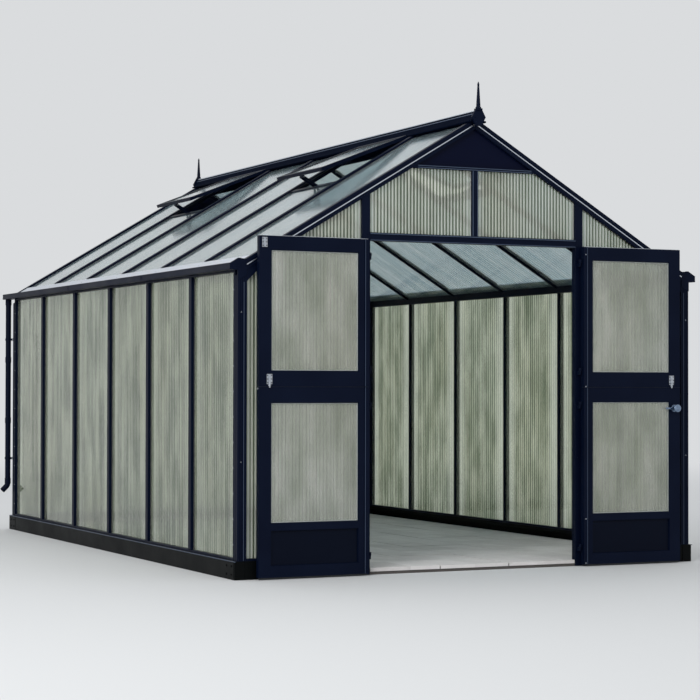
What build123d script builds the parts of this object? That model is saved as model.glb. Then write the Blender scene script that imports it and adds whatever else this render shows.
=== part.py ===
from build123d import *
import math
import os

# Greenhouse of twin-wall sheets in a dark metal frame, with a double stable door in the front gable.
# X runs across the gable, Y from the front to the back, Z up. The origin is the middle of the
# footprint at ground level. All sizes are in millimetres.

# Overall sizes
WIDTH = 2960.0  # across the outer faces of the side wall frames
LENGTH = 4390.0  # from the front gable face to the back gable face
BAYS = 6
ROOF_PITCH = 30.8  # degrees
EAVE_Z = 1687.0  # underside of the eave rails
ROOF_RISE = 41.7  # from there to the plane of the roof caps, at the wall's outer face
FIT = 0.3  # gap left between pieces that seat in each other

# Sheets
SHEET_T = 10.0
SHEET_GRIP = 12.0  # how far a sheet's edge sits in its slot

# Base and sill
BASE_H = 102.0
BASE_PROUD = 16.0  # how far the base stands out from the wall frame
BASE_D = 60.0
BASE_T = 3.0
BASE_LIP = 22.0
BASE_FOOT = 40.0
SILL_D = 38.0
SILL_H = 13.0
SILL_EDGE = 3.0
SILL_FLOOR = 4.0  # thickness of the sill under the sheets
SILL_SET_BACK = 2.0
FRONT_BASE_D = 56.0

# Wall and gable bars
CAP_W = 46.0
CAP_EDGE = 3.0
WALL_CAP_T = 20.0
WEB_W = 12.0
LEG_W = 24.0
LEG_T = 10.0
MULLION_W = 38.0

# Corner posts
CORNER_X = 55.0
CORNER_Y = 65.0
CORNER_BEVEL = 14.0
CORNER_EDGE = 4.0

# Eave, gutter and trim
EAVE_D = 55.0
EAVE_LIP_H = 10.0
EAVE_WEB_T = 3.0
GUTTER_INSET = 21.0  # from the wall's outer face in to the gutter's back
GUTTER_W = 68.0
GUTTER_DEPTH = 36.0
GUTTER_T = 3.0
GUTTER_LIP = 9.0
GUTTER_OVERHANG = 110.0
GUTTER_CAP_T = 4.0
GUTTER_CAP_RISE = 29.0  # how far the front end caps climb above the lip, at the slope of the roof
TRIM_L = 109.0
TRIM_TOP = 4.0
TRIM_T = 3.0

# Downpipes
PIPE_D = 40.0
PIPE_T = 2.0
PIPE_BEHIND = 75.0
PIPE_LENGTHS = 3  # equal lengths that each straight pipe is made up of
PIPE_BEND_Z = 322.0
PIPE_TURN = 45.0  # degrees, in two mitred joints
PIPE_KNEE = 31.0
PIPE_SPOUT = 30.0
CLIP_H = 16.0
CLIP_T = 3.0
CLIP_HEIGHTS = (520.0, 1400.0)

# Roof bars and rafters
ROOF_CAP_T = 14.0
ROOF_LEG_T = 14.0
RAFTER_W = 40.0
RAFTER_D = 54.0
SHEET_SHORT = 5.0  # how far short of the wall's outer face the roof sheets stop, down the slope
SHEET_TOP_S = 38.0

# Ridge
RIDGE_BEAM_W = 60.0
RIDGE_BEAM_D = 96.0
RIDGE_CREST_H = 42.0  # above the line where the planes of the roof caps meet
RIDGE_CREST_W = 18.0
RIDGE_SHOULDER = 19.0
RIDGE_WING_S = 54.0
RIDGE_WING_T = 8.0
RIDGE_OVERHANG = 26.0  # how far the capping runs out past each gable
BEAD_R = 6.0
BEAD_LIFT = 6.5
BEAD_SEAT = 5.0  # how far the bead sits in over the edge of the wing
FINIAL_H = 157.0
FINIAL_R = 14.0
RIDGE_PLATE_W = 90.0
RIDGE_PLATE_H = 100.0
RIDGE_PLATE_T = 16.0
RIDGE_PLATE_RISE = 10.0  # above the crest
RIDGE_PLATE_FLAT = 36.0  # length of the plate's level edges
FINIAL_EDGE = 4.0  # how far the plate's head reaches round the foot of the spike
FINIAL_SIDES = 8
# Lower and upper radius and height of each length, as shares of the finial's radius and height
FINIAL_TAPERS = ((1.15, 1.15, 0.0, 0.06), (0.95, 0.42, 0.06, 0.85), (0.42, 0.12, 0.85, 1.0))

# Gable above the door
DOOR_HEAD_Z = 1881.0
HEADER_H = 47.0
POST_W = 50.0
POST_X = 700.0
STRIP_DROP = 305.0  # from the ridge line down to the strip rails
STRIP_H = 20.0
STRIP_GRIP = 7.0
GUSSET_T = 5.0
GUSSET_LEG = 160.0
GUSSET_RISE = 64.0
GUSSET_SET_BACK = 2.0

# Vents
VENT_BAYS = (1, 4)
VENT_LAP = 71.0  # how far a sash reaches down over its cross bar
VENT_CROSS_W = 32.0
VENT_CROSS_T = 26.0
VENT_UPSTAND_T = 12.0
VENT_UPSTAND_DEPTH = 8.0  # top of the upstand below the bar caps
VENT_LENGTH = 617.0
VENT_SIDE_GAP = 6.0
VENT_RAIL = 34.0
VENT_T = 22.0
VENT_DROP = 14.0
VENT_OPEN = 9.4  # degrees from shut to the open rest position
ARM_W = 14.0
ARM_T = 4.0
ARM_SPREAD = 44.0
STAY_FOOT_H = 18.0
STAY_FOOT_T = 12.0
STAY_FOOT_PIVOT = 14.0  # above the foot's lower end
STAY_LUG_H = 16.0
STAY_LUG_PIVOT = 12.0  # below the sash

# Doors
HINGE_INSET = 10.0  # from the middle of the door post in to the hinge axis
HINGE_OUT = 30.0  # hinge axis in front of the gable face
MEETING_GAP = 6.0  # between the free edges of the shut leaves
DOOR_T = 30.0
DOOR_BOTTOM_Z = 12.0
DOOR_LAP = 4.0  # how far the leaves reach up over the header
DOOR_SPLIT_Z = 1055.0
DOOR_SPLIT_GAP = 2.0
HINGE_STILE = 66.0
HINGE_SIDE_GAP = 12.0
FREE_STILE = 74.0
TOP_RAIL = 77.0
MID_RAIL = 86.0
KICK_RAIL = 40.0
BOTTOM_RAIL = 62.0
KICK_H = 194.0
KICK_T = 8.0
DOOR_REST_GAP = 1.0  # degrees short of lying flat against the gable
HINGE_RAIL_GAP = 2.0
HINGE_RAIL_W = 26.0
HINGE_RAIL_T = 5.0
KNUCKLE_R = 9.0
KNUCKLE_H = 20.0
HINGE_PIN_R = 4.0
HINGE_ARM_W = 10.0
HINGE_FLAP_T = 6.0
HINGE_PLATE_T = 3.0
HINGE_PLATE_EDGE = 2.0
HINGE_ZS = (110.0, 950.0, 1150.0, 1790.0)

# Catches and handle
CATCH_IN = 78.0  # from the free edge to the catch's far edge
CATCH_W = 33.0
CATCH_H = 66.0
CATCH_T = 3.0
CATCH_UP = 5.0  # above the split
CATCH_TIP_W = 15.0
CATCH_TIP_H = 18.0
BARREL_R = 5.0
BARREL_OUT = 6.0  # middle of the barrel in front of the leaf
BOLT_IN = 47.0
BOLT_W = 31.0
BOLT_H = 54.0
BOLT_DOWN = 63.0  # from the leaf's top to the bolt plate's foot
HANDLE_IN = 39.0
HANDLE_DOWN = 125.0  # below the split
KNOB_PROFILE = ((22, 0), (22, 4), (9, 4), (9, 20), (24, 26), (24, 34), (18, 40), (0, 40))
LEVER_L = 62.0
LEVER_H = 10.0
LEVER_T = 6.0
LEVER_OUT = 7.0
ROSE_W = 38.0
ROSE_T = 5.0
PULL_OUT = 30.0
PULL_W = 18.0
PULL_UP = 12.0
PULL_DOWN = 30.0

# Floor
SLAB_T = 38.0
JOINT_W = 4.0
JOINT_D = 5.0
SLAB_COLUMNS = 7
SLAB_ROWS = 7
KERB_PIECES = 3

# Places worked out from the sizes above
HALF_W = WIDTH / 2
HALF_L = LENGTH / 2
BAY = LENGTH / BAYS
PITCH = math.radians(ROOF_PITCH)
RIDGE_LINE_Z = EAVE_Z + ROOF_RISE + HALF_W * math.tan(PITCH)
SLOT = SHEET_T + 2 * FIT
SHEET_X = HALF_W - WALL_CAP_T
GABLE_SHEET_Y = HALF_L - WALL_CAP_T
SILL_TOP = BASE_H + SILL_H
SHEET_FOOT = BASE_H + SILL_FLOOR
EAVE_IN_X = HALF_W - EAVE_D
EAVE_SLOT_TOP = EAVE_Z + EAVE_LIP_H - FIT - EAVE_WEB_T
WALL_SHEET_TOP = EAVE_SLOT_TOP - FIT
GUTTER_X = HALF_W - GUTTER_INSET
GUTTER_OUT_X = GUTTER_X + GUTTER_W
GUTTER_Z = EAVE_Z + EAVE_LIP_H
GUTTER_LIP_Z = GUTTER_Z + GUTTER_DEPTH
SHEET_END_S = HALF_W / math.cos(PITCH) - SHEET_SHORT
RAFTER_IN_Y = HALF_L - RAFTER_W
BAR_TOP_SLOT = ROOF_CAP_T
BAR_LOW_SLOT = ROOF_CAP_T + SLOT
RIDGE_CREST_Z = RIDGE_LINE_Z + RIDGE_CREST_H
STRIP_Z = RIDGE_LINE_Z - STRIP_DROP
VENT_CROSS_S = RIDGE_WING_S + VENT_LENGTH - VENT_LAP
HINGE_X = POST_X - HINGE_INSET
DOOR_W = HINGE_X - MEETING_GAP / 2
DOOR_TOP_Z = DOOR_HEAD_Z + DOOR_LAP
FAR = 4 * HALF_W


def roof_z(x, depth=0.0):
    """Height of the plane that lies depth below the roof caps, at x from the ridge."""
    return RIDGE_LINE_Z - abs(x) * math.tan(PITCH) - depth / math.cos(PITCH)


def slope_frame(side, y):
    """Frame on the ridge line: local X along the wall, local Y out of the roof, local Z down the slope."""
    down = (side * math.cos(PITCH), 0, -math.sin(PITCH))
    return Plane(origin=(0, y, RIDGE_LINE_Z), x_dir=(0, side, 0), z_dir=down)


def block(x0, x1, y0, y1, z0, z1):
    """Box between two corners."""
    size = Box(x1 - x0, y1 - y0, z1 - z0, align=(Align.MIN, Align.MIN, Align.MIN))
    return Pos(x0, y0, z0) * size


def along_y(points, y0, y1):
    """Profile of (x, z) points extruded from y0 to y1."""
    face = make_face(Polyline(*[(x, y0, z) for x, z in points], close=True))
    return extrude(face, amount=y1 - y0, dir=(0, 1, 0))


def both_sides(piece):
    """The right-hand piece and its mirror image on the left."""
    return [piece, mirror(piece, about=Plane.YZ)]


def front_and_back(piece):
    """The back piece and its mirror image at the front."""
    return [piece, mirror(piece, about=Plane.XZ)]


def four_corners(piece):
    """The back right piece and its mirror images at the other three corners."""
    return [copy for half in both_sides(piece) for copy in front_and_back(half)]


def gable_outline(depth, y0, y1):
    """Prism of the gable up to the plane that lies depth below the roof caps."""
    points = [(-HALF_W, -1), (HALF_W, -1), (HALF_W, roof_z(HALF_W, depth)),
              (0, roof_z(0, depth)), (-HALF_W, roof_z(HALF_W, depth))]
    return along_y(points, y0, y1)


def bar_section(cap_w, cap_t, leg_w, leg_t):
    """Glazing bar: outer cap, web between the sheets, inner leg. Depth runs down from the cap face."""
    cap = Pos(0, -cap_t / 2) * Rectangle(cap_w, cap_t)
    cap = chamfer(cap.vertices().group_by(Axis.Y)[-1], CAP_EDGE)
    web = Pos(0, -cap_t - SLOT / 2) * Rectangle(WEB_W, SLOT)
    leg = Pos(0, -cap_t - SLOT - leg_t / 2) * Rectangle(leg_w, leg_t)
    leg = chamfer(leg.vertices().group_by(Axis.Y)[0], CAP_EDGE)
    return cap + web + leg


def upright(x, y, out, z0, z1, cap_w=CAP_W):
    """Vertical glazing bar whose cap face is at x, y and looks along out."""
    across = Vector(*out, 0).cross(Vector(0, 0, 1))
    frame = Plane(origin=(x, y, z0), x_dir=across, z_dir=(0, 0, 1))
    return extrude(frame * bar_section(cap_w, WALL_CAP_T, LEG_W, LEG_T), amount=z1 - z0)


# Base, sill and floor


def base_section(out_x, depth):
    """Folded base profile, open towards the inside, as (x, z) points."""
    in_x = out_x - depth
    return [(out_x, 0), (out_x, BASE_H), (in_x, BASE_H), (in_x, BASE_H - BASE_LIP),
            (in_x + BASE_T, BASE_H - BASE_LIP), (in_x + BASE_T, BASE_H - BASE_T),
            (out_x - BASE_T, BASE_H - BASE_T), (out_x - BASE_T, BASE_T),
            (out_x - BASE_FOOT, BASE_T), (out_x - BASE_FOOT, 0)]


def base_rails():
    """Base round the walls, closed at its ends and open across the doorway."""
    out = HALF_W + BASE_PROUD
    inner = out - BASE_D - FIT
    y0 = -HALF_L
    y1 = HALF_L + BASE_PROUD
    side = along_y(base_section(out, BASE_D), y0, y1)
    side += block(out - BASE_D, out, y0, y0 + BASE_T, 0, BASE_H)
    side += block(out - BASE_D, out, y1 - BASE_T, y1, 0, BASE_H)
    sides = both_sides(side)
    turn = Rot(0, 0, 90)
    back = turn * along_y(base_section(HALF_L + BASE_PROUD, BASE_D), -inner, inner)
    start = POST_X + POST_W / 2 + FIT
    front = turn * along_y(base_section(HALF_L - SILL_SET_BACK, FRONT_BASE_D), start, inner)
    fronts = both_sides(Rot(0, 0, 180) * front)
    return sides + [back] + fronts


def sill_section(face, depth):
    """Sill profile with the slot for the sheets, as (x, z) points."""
    out_x = face - SILL_SET_BACK
    slot_out = face - WALL_CAP_T + FIT
    slot_in = slot_out - SLOT
    edge = SILL_EDGE
    return [(out_x, BASE_H), (out_x, SILL_TOP - edge), (out_x - edge, SILL_TOP), (slot_out, SILL_TOP),
            (slot_out, SHEET_FOOT), (slot_in, SHEET_FOOT), (slot_in, SILL_TOP),
            (out_x - depth, SILL_TOP), (out_x - depth, BASE_H)]


def sill_rails():
    """Sills under the wall and gable sheets."""
    reach = HALF_L - CORNER_Y - FIT
    sides = both_sides(along_y(sill_section(HALF_W, SILL_D), -reach, reach))
    across = HALF_W - CORNER_X - FIT
    back = Rot(0, 0, 90) * along_y(sill_section(HALF_L, SILL_D), -across, across)
    start = POST_X + POST_W / 2 + FIT
    front = Rot(0, 0, 270) * along_y(sill_section(HALF_L, SILL_D), start, across)
    return sides + [back] + both_sides(front)


def floor_slabs():
    """Slab floor between the base rails, with filled joints and a kerb row across the doorway."""
    x_end = HALF_W + BASE_PROUD - BASE_FOOT - FIT
    y_front = -HALF_L + FRONT_BASE_D + FIT
    y_back = HALF_L + BASE_PROUD - BASE_FOOT - FIT
    kerb_x = POST_X - POST_W / 2 - FIT
    kerb_y = -HALF_L + SILL_SET_BACK
    floor = block(-x_end, x_end, y_front, y_back, 0, SLAB_T)
    floor += block(-kerb_x, kerb_x, kerb_y, y_front, 0, SLAB_T)
    dx = 2 * x_end / SLAB_COLUMNS
    dy = (y_back - y_front) / SLAB_ROWS
    g = JOINT_W / 2
    low = SLAB_T - JOINT_D
    joints = [block(-x_end + i * dx - g, -x_end + i * dx + g, y_front, y_back, low, SLAB_T)
              for i in range(1, SLAB_COLUMNS)]
    joints += [block(-x_end, x_end, y_front + j * dy - g, y_front + j * dy + g, low, SLAB_T)
               for j in range(SLAB_ROWS)]
    step = 2 * kerb_x / KERB_PIECES
    joints += [block(-kerb_x + i * step - g, -kerb_x + i * step + g, kerb_y, y_front, low, SLAB_T)
               for i in range(1, KERB_PIECES)]
    return [floor - joints]


# Walls


def corner_posts():
    """Four corner posts with slots for the wall and gable sheets, cut to fit under the rafters."""
    x0 = HALF_W - CORNER_X
    y0 = HALF_L - CORNER_Y
    outline = make_face(Polyline((x0 + CORNER_BEVEL, y0), (HALF_W, y0), (HALF_W, HALF_L),
                                 (x0, HALF_L), (x0, y0 + CORNER_BEVEL), close=True))
    corner = outline.vertices().sort_by(lambda v: -(v.X + v.Y))[0]
    outline = chamfer(corner, CORNER_EDGE)
    post = extrude(Pos(0, 0, BASE_H) * outline, amount=GUTTER_Z - FIT - BASE_H)
    wall_slot = block(SHEET_X - SHEET_T - FIT, SHEET_X + FIT, y0 - 1, y0 + SHEET_GRIP, 0, FAR)
    gable_slot = block(x0 - 1, x0 + SHEET_GRIP, GABLE_SHEET_Y - SHEET_T - FIT, GABLE_SHEET_Y + FIT,
                       0, FAR)
    above = block(0, FAR, RAFTER_IN_Y - FIT, HALF_L + 1, 0, FAR)
    above = above - gable_outline(RAFTER_D, HALF_L - 2 * RAFTER_W, HALF_L + 2)
    return four_corners(post - wall_slot - gable_slot - above)


def side_posts(side):
    """Posts between the wall sheets of one side."""
    ys = [-HALF_L + i * BAY for i in range(1, BAYS)]
    return [upright(side * HALF_W, y, (side, 0), SILL_TOP, EAVE_Z) for y in ys]


def wall_sheets(side):
    """Twin-wall sheets of one side wall."""
    x0 = SHEET_X - SHEET_T
    sheets = []
    for i in range(BAYS):
        y0 = -HALF_L + i * BAY + WEB_W / 2 + FIT
        y1 = -HALF_L + (i + 1) * BAY - WEB_W / 2 - FIT
        if i == 0:
            y0 = -HALF_L + CORNER_Y - SHEET_GRIP + FIT
        if i == BAYS - 1:
            y1 = HALF_L - CORNER_Y + SHEET_GRIP - FIT
        sheet = block(x0, SHEET_X, y0, y1, SHEET_FOOT + FIT, WALL_SHEET_TOP)
        sheets.append(sheet if side > 0 else mirror(sheet, about=Plane.YZ))
    return sheets


def eave_rails():
    """Rails on top of the side walls, under the roof sheets."""
    low = BAR_LOW_SLOT
    slot_in = SHEET_X - SHEET_T - FIT
    slot_out = SHEET_X + FIT
    top = GUTTER_Z - FIT
    reach = HALF_L - CORNER_Y - FIT
    outline = [(EAVE_IN_X, EAVE_Z), (HALF_W, EAVE_Z), (HALF_W, top), (GUTTER_X - FIT, top),
               (GUTTER_X - FIT, roof_z(GUTTER_X, low) - FIT), (EAVE_IN_X, roof_z(EAVE_IN_X, low) - FIT)]
    rail = along_y(outline, -reach, reach)
    slot = block(slot_in, slot_out, -FAR, FAR, EAVE_Z - 1, EAVE_SLOT_TOP)
    return both_sides(rail - slot)


# Gutters


def gutter_section():
    """Gutter trough with its rolled lip, as (x, z) points."""
    t = GUTTER_T
    top_in = roof_z(GUTTER_X, BAR_LOW_SLOT) - FIT
    return [(GUTTER_X, GUTTER_Z), (GUTTER_OUT_X, GUTTER_Z), (GUTTER_OUT_X, GUTTER_LIP_Z),
            (GUTTER_OUT_X - GUTTER_LIP, GUTTER_LIP_Z), (GUTTER_OUT_X - GUTTER_LIP, GUTTER_LIP_Z - t),
            (GUTTER_OUT_X - t, GUTTER_LIP_Z - t), (GUTTER_OUT_X - t, GUTTER_Z + t),
            (GUTTER_X + t, GUTTER_Z + t), (GUTTER_X + t, top_in - t * math.tan(PITCH)),
            (GUTTER_X, top_in)]


def gutter(side):
    """Gutter with end caps and an outlet for the downpipe."""
    y0 = -HALF_L
    y1 = HALF_L + GUTTER_OVERHANG
    trough = along_y(gutter_section(), y0, y1)
    top_in = roof_z(GUTTER_X, BAR_LOW_SLOT) - FIT
    start = [(GUTTER_X, GUTTER_Z), (GUTTER_OUT_X, GUTTER_Z), (GUTTER_OUT_X, GUTTER_LIP_Z)]
    crest_z = GUTTER_LIP_Z + GUTTER_CAP_RISE
    crest_x = GUTTER_OUT_X - GUTTER_CAP_RISE / math.tan(PITCH)
    trough = trough + along_y(start + [(crest_x, crest_z), (GUTTER_X, crest_z)], y0, y0 + GUTTER_CAP_T)
    trough = trough + along_y(start + [(GUTTER_X, top_in)], y1 - GUTTER_CAP_T, y1)
    outlet = Pos(pipe_x(), HALF_L + PIPE_BEHIND, GUTTER_Z) * Cylinder(PIPE_D / 2 - PIPE_T, 4 * GUTTER_T)
    trough = trough - outlet
    return [trough if side > 0 else mirror(trough, about=Plane.YZ)]


def pipe_x():
    """Middle of the trough, where the downpipe hangs."""
    return GUTTER_X + GUTTER_W / 2


def shoe_line(x, y):
    """Centre line of a downpipe's shoe, turned outwards in two equal mitres."""
    turn = math.radians(PIPE_TURN)
    knee_x = x + PIPE_KNEE * math.sin(turn / 2)
    knee_z = PIPE_BEND_Z - PIPE_KNEE * math.cos(turn / 2)
    mouth_x = knee_x + PIPE_SPOUT * math.sin(turn)
    mouth_z = knee_z - PIPE_SPOUT * math.cos(turn)
    joint_z = PIPE_BEND_Z + PIPE_SPOUT
    return Polyline((x, y, joint_z), (x, y, PIPE_BEND_Z), (knee_x, y, knee_z), (mouth_x, y, mouth_z))


def downpipes():
    """Round pipes from the gutters' back ends in equal lengths, each with a shoe that turns outwards."""
    x = pipe_x()
    y = HALF_L + PIPE_BEHIND
    ring = Circle(PIPE_D / 2) - Circle(PIPE_D / 2 - PIPE_T)
    joint_z = PIPE_BEND_Z + PIPE_SPOUT
    start = Plane(origin=(x, y, joint_z), z_dir=(0, 0, -1))
    pipes = both_sides(sweep(start * ring, path=shoe_line(x, y), transition=Transition.RIGHT))
    length = (GUTTER_Z - joint_z) / PIPE_LENGTHS
    for i in range(PIPE_LENGTHS):
        z0 = joint_z + i * length + FIT
        pipes += both_sides(extrude(Pos(x, y, z0) * ring, amount=length - FIT))
    return pipes


def downpipe_clips():
    """Collars that hold the downpipes to the back corner posts."""
    x = pipe_x()
    y = HALF_L + PIPE_BEHIND
    bore = Pos(x, y, 0) * Cylinder(PIPE_D / 2 + FIT, 3 * GUTTER_Z)
    arm_x = HALF_W - CORNER_X / 2
    clips = []
    for z in CLIP_HEIGHTS:
        z0 = z - CLIP_H / 2
        z1 = z + CLIP_H / 2
        clip = Pos(x, y, z) * Cylinder(PIPE_D / 2 + CLIP_T, CLIP_H)
        clip += block(arm_x, arm_x + 2 * CLIP_T, HALF_L, y - PIPE_D / 2, z0, z1)
        clip += block(arm_x, x - PIPE_D / 4, y - PIPE_D / 2 - CLIP_T, y - PIPE_D / 2 + CLIP_T, z0, z1)
        clips += both_sides(clip - bore)
    return clips


# Gable frames


def gable_rafters():
    """Rafters that frame both gables, with slots for the roof and gable sheets."""
    frame = slope_frame(1, HALF_L)
    length = FAR
    body = frame * (Pos(-RAFTER_W / 2, -RAFTER_D / 2, length / 2) * Box(RAFTER_W, RAFTER_D, length))
    roof_slot = frame * (Pos(-RAFTER_W + SHEET_GRIP / 2, -BAR_TOP_SLOT - SLOT / 2, length / 2)
                         * Box(SHEET_GRIP, SLOT, length))
    middle = -(WALL_CAP_T + SHEET_T / 2)
    gable_slot = frame * (Pos(middle, -RAFTER_D + SHEET_GRIP / 2, length / 2)
                          * Box(SLOT, SHEET_GRIP, length))
    keep = block(FIT / 2, GUTTER_X - FIT, 0, FAR, 0, FAR)
    return four_corners((body - roof_slot - gable_slot) & keep)


def corner_gussets():
    """Triangular plates that stiffen the rafters' feet."""
    x0 = HALF_W - CORNER_X
    top = roof_z(x0, RAFTER_D)
    x1 = x0 - GUSSET_LEG
    points = [(x0, top), (x0, top - GUSSET_RISE), (x1, roof_z(x1, RAFTER_D))]
    y1 = HALF_L - GUSSET_SET_BACK
    plate = along_y(points, y1 - GUSSET_T, y1)
    return four_corners(plate)


def gable_frame_piece(x0, x1, z0, z1):
    """Box section in the gable frame, from the back gable's face inwards, cut under the rafters."""
    piece = block(x0, x1, RAFTER_IN_Y, HALF_L, z0, z1)
    return piece & gable_outline(RAFTER_D, RAFTER_IN_Y - 1, HALF_L + 1)


def gable_slot(x0, x1, z0, z1):
    """Slot for sheets in the back gable's plane."""
    return block(x0, x1, GABLE_SHEET_Y - SHEET_T - FIT, GABLE_SHEET_Y + FIT, z0, z1)


def door_posts():
    """Posts at the doorway, from the ground to the rafters."""
    x0 = POST_X - POST_W / 2
    x1 = POST_X + POST_W / 2
    post = gable_frame_piece(x0, x1, 0, FAR)
    outer = gable_slot(x1 - SHEET_GRIP, x1 + 1, SHEET_FOOT, FAR)
    inner = gable_slot(x0 - 1, x0 + SHEET_GRIP, DOOR_HEAD_Z + HEADER_H - SHEET_GRIP, FAR)
    return both_sides(mirror(post - outer - inner, about=Plane.XZ))


def door_header():
    """Rail over the doorway, slotted for the sheets above it."""
    reach = POST_X - POST_W / 2 - FIT
    top = DOOR_HEAD_Z + HEADER_H
    rail = gable_frame_piece(-reach, reach, DOOR_HEAD_Z, top)
    rail = rail - gable_slot(-reach - 1, reach + 1, top - SHEET_GRIP, top + 1)
    return [mirror(rail, about=Plane.XZ)]


def front_mullion():
    """Short bar from the header to the strip rail."""
    return [upright(0, -HALF_L, (0, -1), DOOR_HEAD_Z + HEADER_H, STRIP_Z, MULLION_W)]


def gable_strip_rails():
    """Rails under the solid infill at the top of both gables."""
    rail = gable_frame_piece(-HALF_W, HALF_W, STRIP_Z, STRIP_Z + STRIP_H)
    below = gable_slot(-HALF_W, HALF_W, STRIP_Z - 1, STRIP_Z + STRIP_GRIP)
    above = gable_slot(-HALF_W, HALF_W, STRIP_Z + STRIP_H - STRIP_GRIP, STRIP_Z + STRIP_H + 1)
    return front_and_back(rail - below - above)


def gable_infill_panels():
    """Solid triangular panels at the top of both gables."""
    foot = STRIP_Z + STRIP_H - STRIP_GRIP + FIT
    depth = RAFTER_D - SHEET_GRIP + FIT
    panel = gable_outline(depth, GABLE_SHEET_Y - SHEET_T, GABLE_SHEET_Y)
    return front_and_back(panel & block(-HALF_W, HALF_W, 0, FAR, foot, FAR))


def gable_sheet(x0, x1, z0, z1):
    """Sheet in the back gable's plane, cut under the rafters."""
    outline = gable_outline(RAFTER_D - SHEET_GRIP + FIT, GABLE_SHEET_Y - SHEET_T, GABLE_SHEET_Y)
    return outline & block(x0, x1, 0, FAR, z0, z1)


def side_light_edges():
    """Outer edge of a gable's side sheet, held in the corner post."""
    return HALF_W - CORNER_X + SHEET_GRIP - FIT


def front_gable_sheets():
    """Side lights beside the doorway and the two sheets over it."""
    x_post = POST_X + POST_W / 2 - SHEET_GRIP + FIT
    light = gable_sheet(x_post, side_light_edges(), SHEET_FOOT + FIT, FAR)
    light = light - block(HALF_W - CORNER_X, HALF_W, 0, FAR, GUTTER_Z - FIT, FAR)
    x_in = POST_X - POST_W / 2 + SHEET_GRIP - FIT
    foot = DOOR_HEAD_Z + HEADER_H - SHEET_GRIP + FIT
    upper = gable_sheet(WEB_W / 2 + FIT, x_in, foot, STRIP_Z + STRIP_GRIP - FIT)
    pieces = both_sides(light) + both_sides(upper)
    return [mirror(piece, about=Plane.XZ) for piece in pieces]


def back_posts():
    """Posts in the back gable, from the sill to the rafters or the strip rail."""
    tall = upright(POST_X, HALF_L, (0, 1), SILL_TOP, roof_z(POST_X - CAP_W / 2, RAFTER_D))
    tall = tall & gable_outline(RAFTER_D, 0, HALF_L + 1)
    middle = upright(0, HALF_L, (0, 1), SILL_TOP, STRIP_Z)
    return both_sides(tall) + [middle]


def back_transoms():
    """Rails between the back posts, at the height of the door header."""
    x0 = CAP_W / 2 + FIT
    x1 = POST_X - CAP_W / 2 - FIT
    top = DOOR_HEAD_Z + HEADER_H
    rail = gable_frame_piece(x0, x1, DOOR_HEAD_Z, top)
    above = gable_slot(x0 - 1, x1 + 1, top - SHEET_GRIP, top + 1)
    below = gable_slot(x0 - 1, x1 + 1, DOOR_HEAD_Z - 1, DOOR_HEAD_Z + SHEET_GRIP)
    return both_sides(rail - above - below)


def back_gable_sheets():
    """Sheets of the back gable."""
    web = WEB_W / 2 + FIT
    top = DOOR_HEAD_Z + HEADER_H
    light = gable_sheet(POST_X + web, side_light_edges(), SHEET_FOOT + FIT, FAR)
    light = light - block(HALF_W - CORNER_X, HALF_W, 0, FAR, GUTTER_Z - FIT, FAR)
    lower = gable_sheet(web, POST_X - web, SHEET_FOOT + FIT, DOOR_HEAD_Z + SHEET_GRIP - FIT)
    upper = gable_sheet(web, POST_X - web, top - SHEET_GRIP + FIT, STRIP_Z + STRIP_GRIP - FIT)
    return both_sides(light) + both_sides(lower) + both_sides(upper)


# Roof


def cap_end_s():
    """Slope length at which the bar caps stop and the eave trim starts."""
    return SHEET_END_S + TRIM_T - TRIM_L


def over_eave(side):
    """Space over the eave rail and the gutter, which the legs of the roof bars stay out of."""
    x0 = EAVE_IN_X - FIT
    beyond = block(x0, FAR, -FAR, FAR, 0, FAR)
    if side < 0:
        beyond = mirror(beyond, about=Plane.YZ)
    return beyond & sloped_block(side, -FAR, FAR, 0, FAR, BAR_LOW_SLOT, FAR)


def roof_bars(side):
    """Glazing bars of one roof slope."""
    bars = []
    beam = RIDGE_BEAM_W / 2 + FIT
    ridge_cut = block(-beam, beam, -FAR, FAR, 0, FAR)
    cap_cut = sloped_block(side, -FAR, FAR, cap_end_s() - FIT, FAR, -1, ROOF_CAP_T)
    section = bar_section(CAP_W, ROOF_CAP_T, LEG_W, ROOF_LEG_T - 2 * FIT)
    for i in range(1, BAYS):
        frame = slope_frame(side, -HALF_L + i * BAY)
        bar = extrude(frame * section, amount=SHEET_END_S)
        bars.append(bar - cap_cut - over_eave(side) - ridge_cut)
    return bars


def bay_edges(i):
    """Edges of the roof sheet in bay i, along the wall."""
    y0 = -HALF_L + i * BAY + WEB_W / 2 + FIT
    y1 = -HALF_L + (i + 1) * BAY - WEB_W / 2 - FIT
    if i == 0:
        y0 = -RAFTER_IN_Y - SHEET_GRIP + FIT
    if i == BAYS - 1:
        y1 = RAFTER_IN_Y + SHEET_GRIP - FIT
    return y0, y1


def sloped_block(side, y0, y1, s0, s1, d0, d1):
    """Box on the roof slope: along the wall, down the slope, and in depth below the caps."""
    frame = slope_frame(side, 0)
    middle = side * (y0 + y1) / 2
    box = Box(y1 - y0, d1 - d0, s1 - s0)
    return frame * (Pos(middle, -(d0 + d1) / 2, (s0 + s1) / 2) * box)


def roof_sheets(side):
    """Twin-wall sheets of one roof slope, shorter below each vent."""
    top = ROOF_CAP_T + FIT
    sheets = []
    for i in range(BAYS):
        y0, y1 = bay_edges(i)
        s0 = SHEET_TOP_S
        if i in VENT_BAYS:
            s0 = VENT_CROSS_S + VENT_UPSTAND_T + FIT
        sheets.append(sloped_block(side, y0, y1, s0, SHEET_END_S, top, top + SHEET_T))
    return sheets


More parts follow.
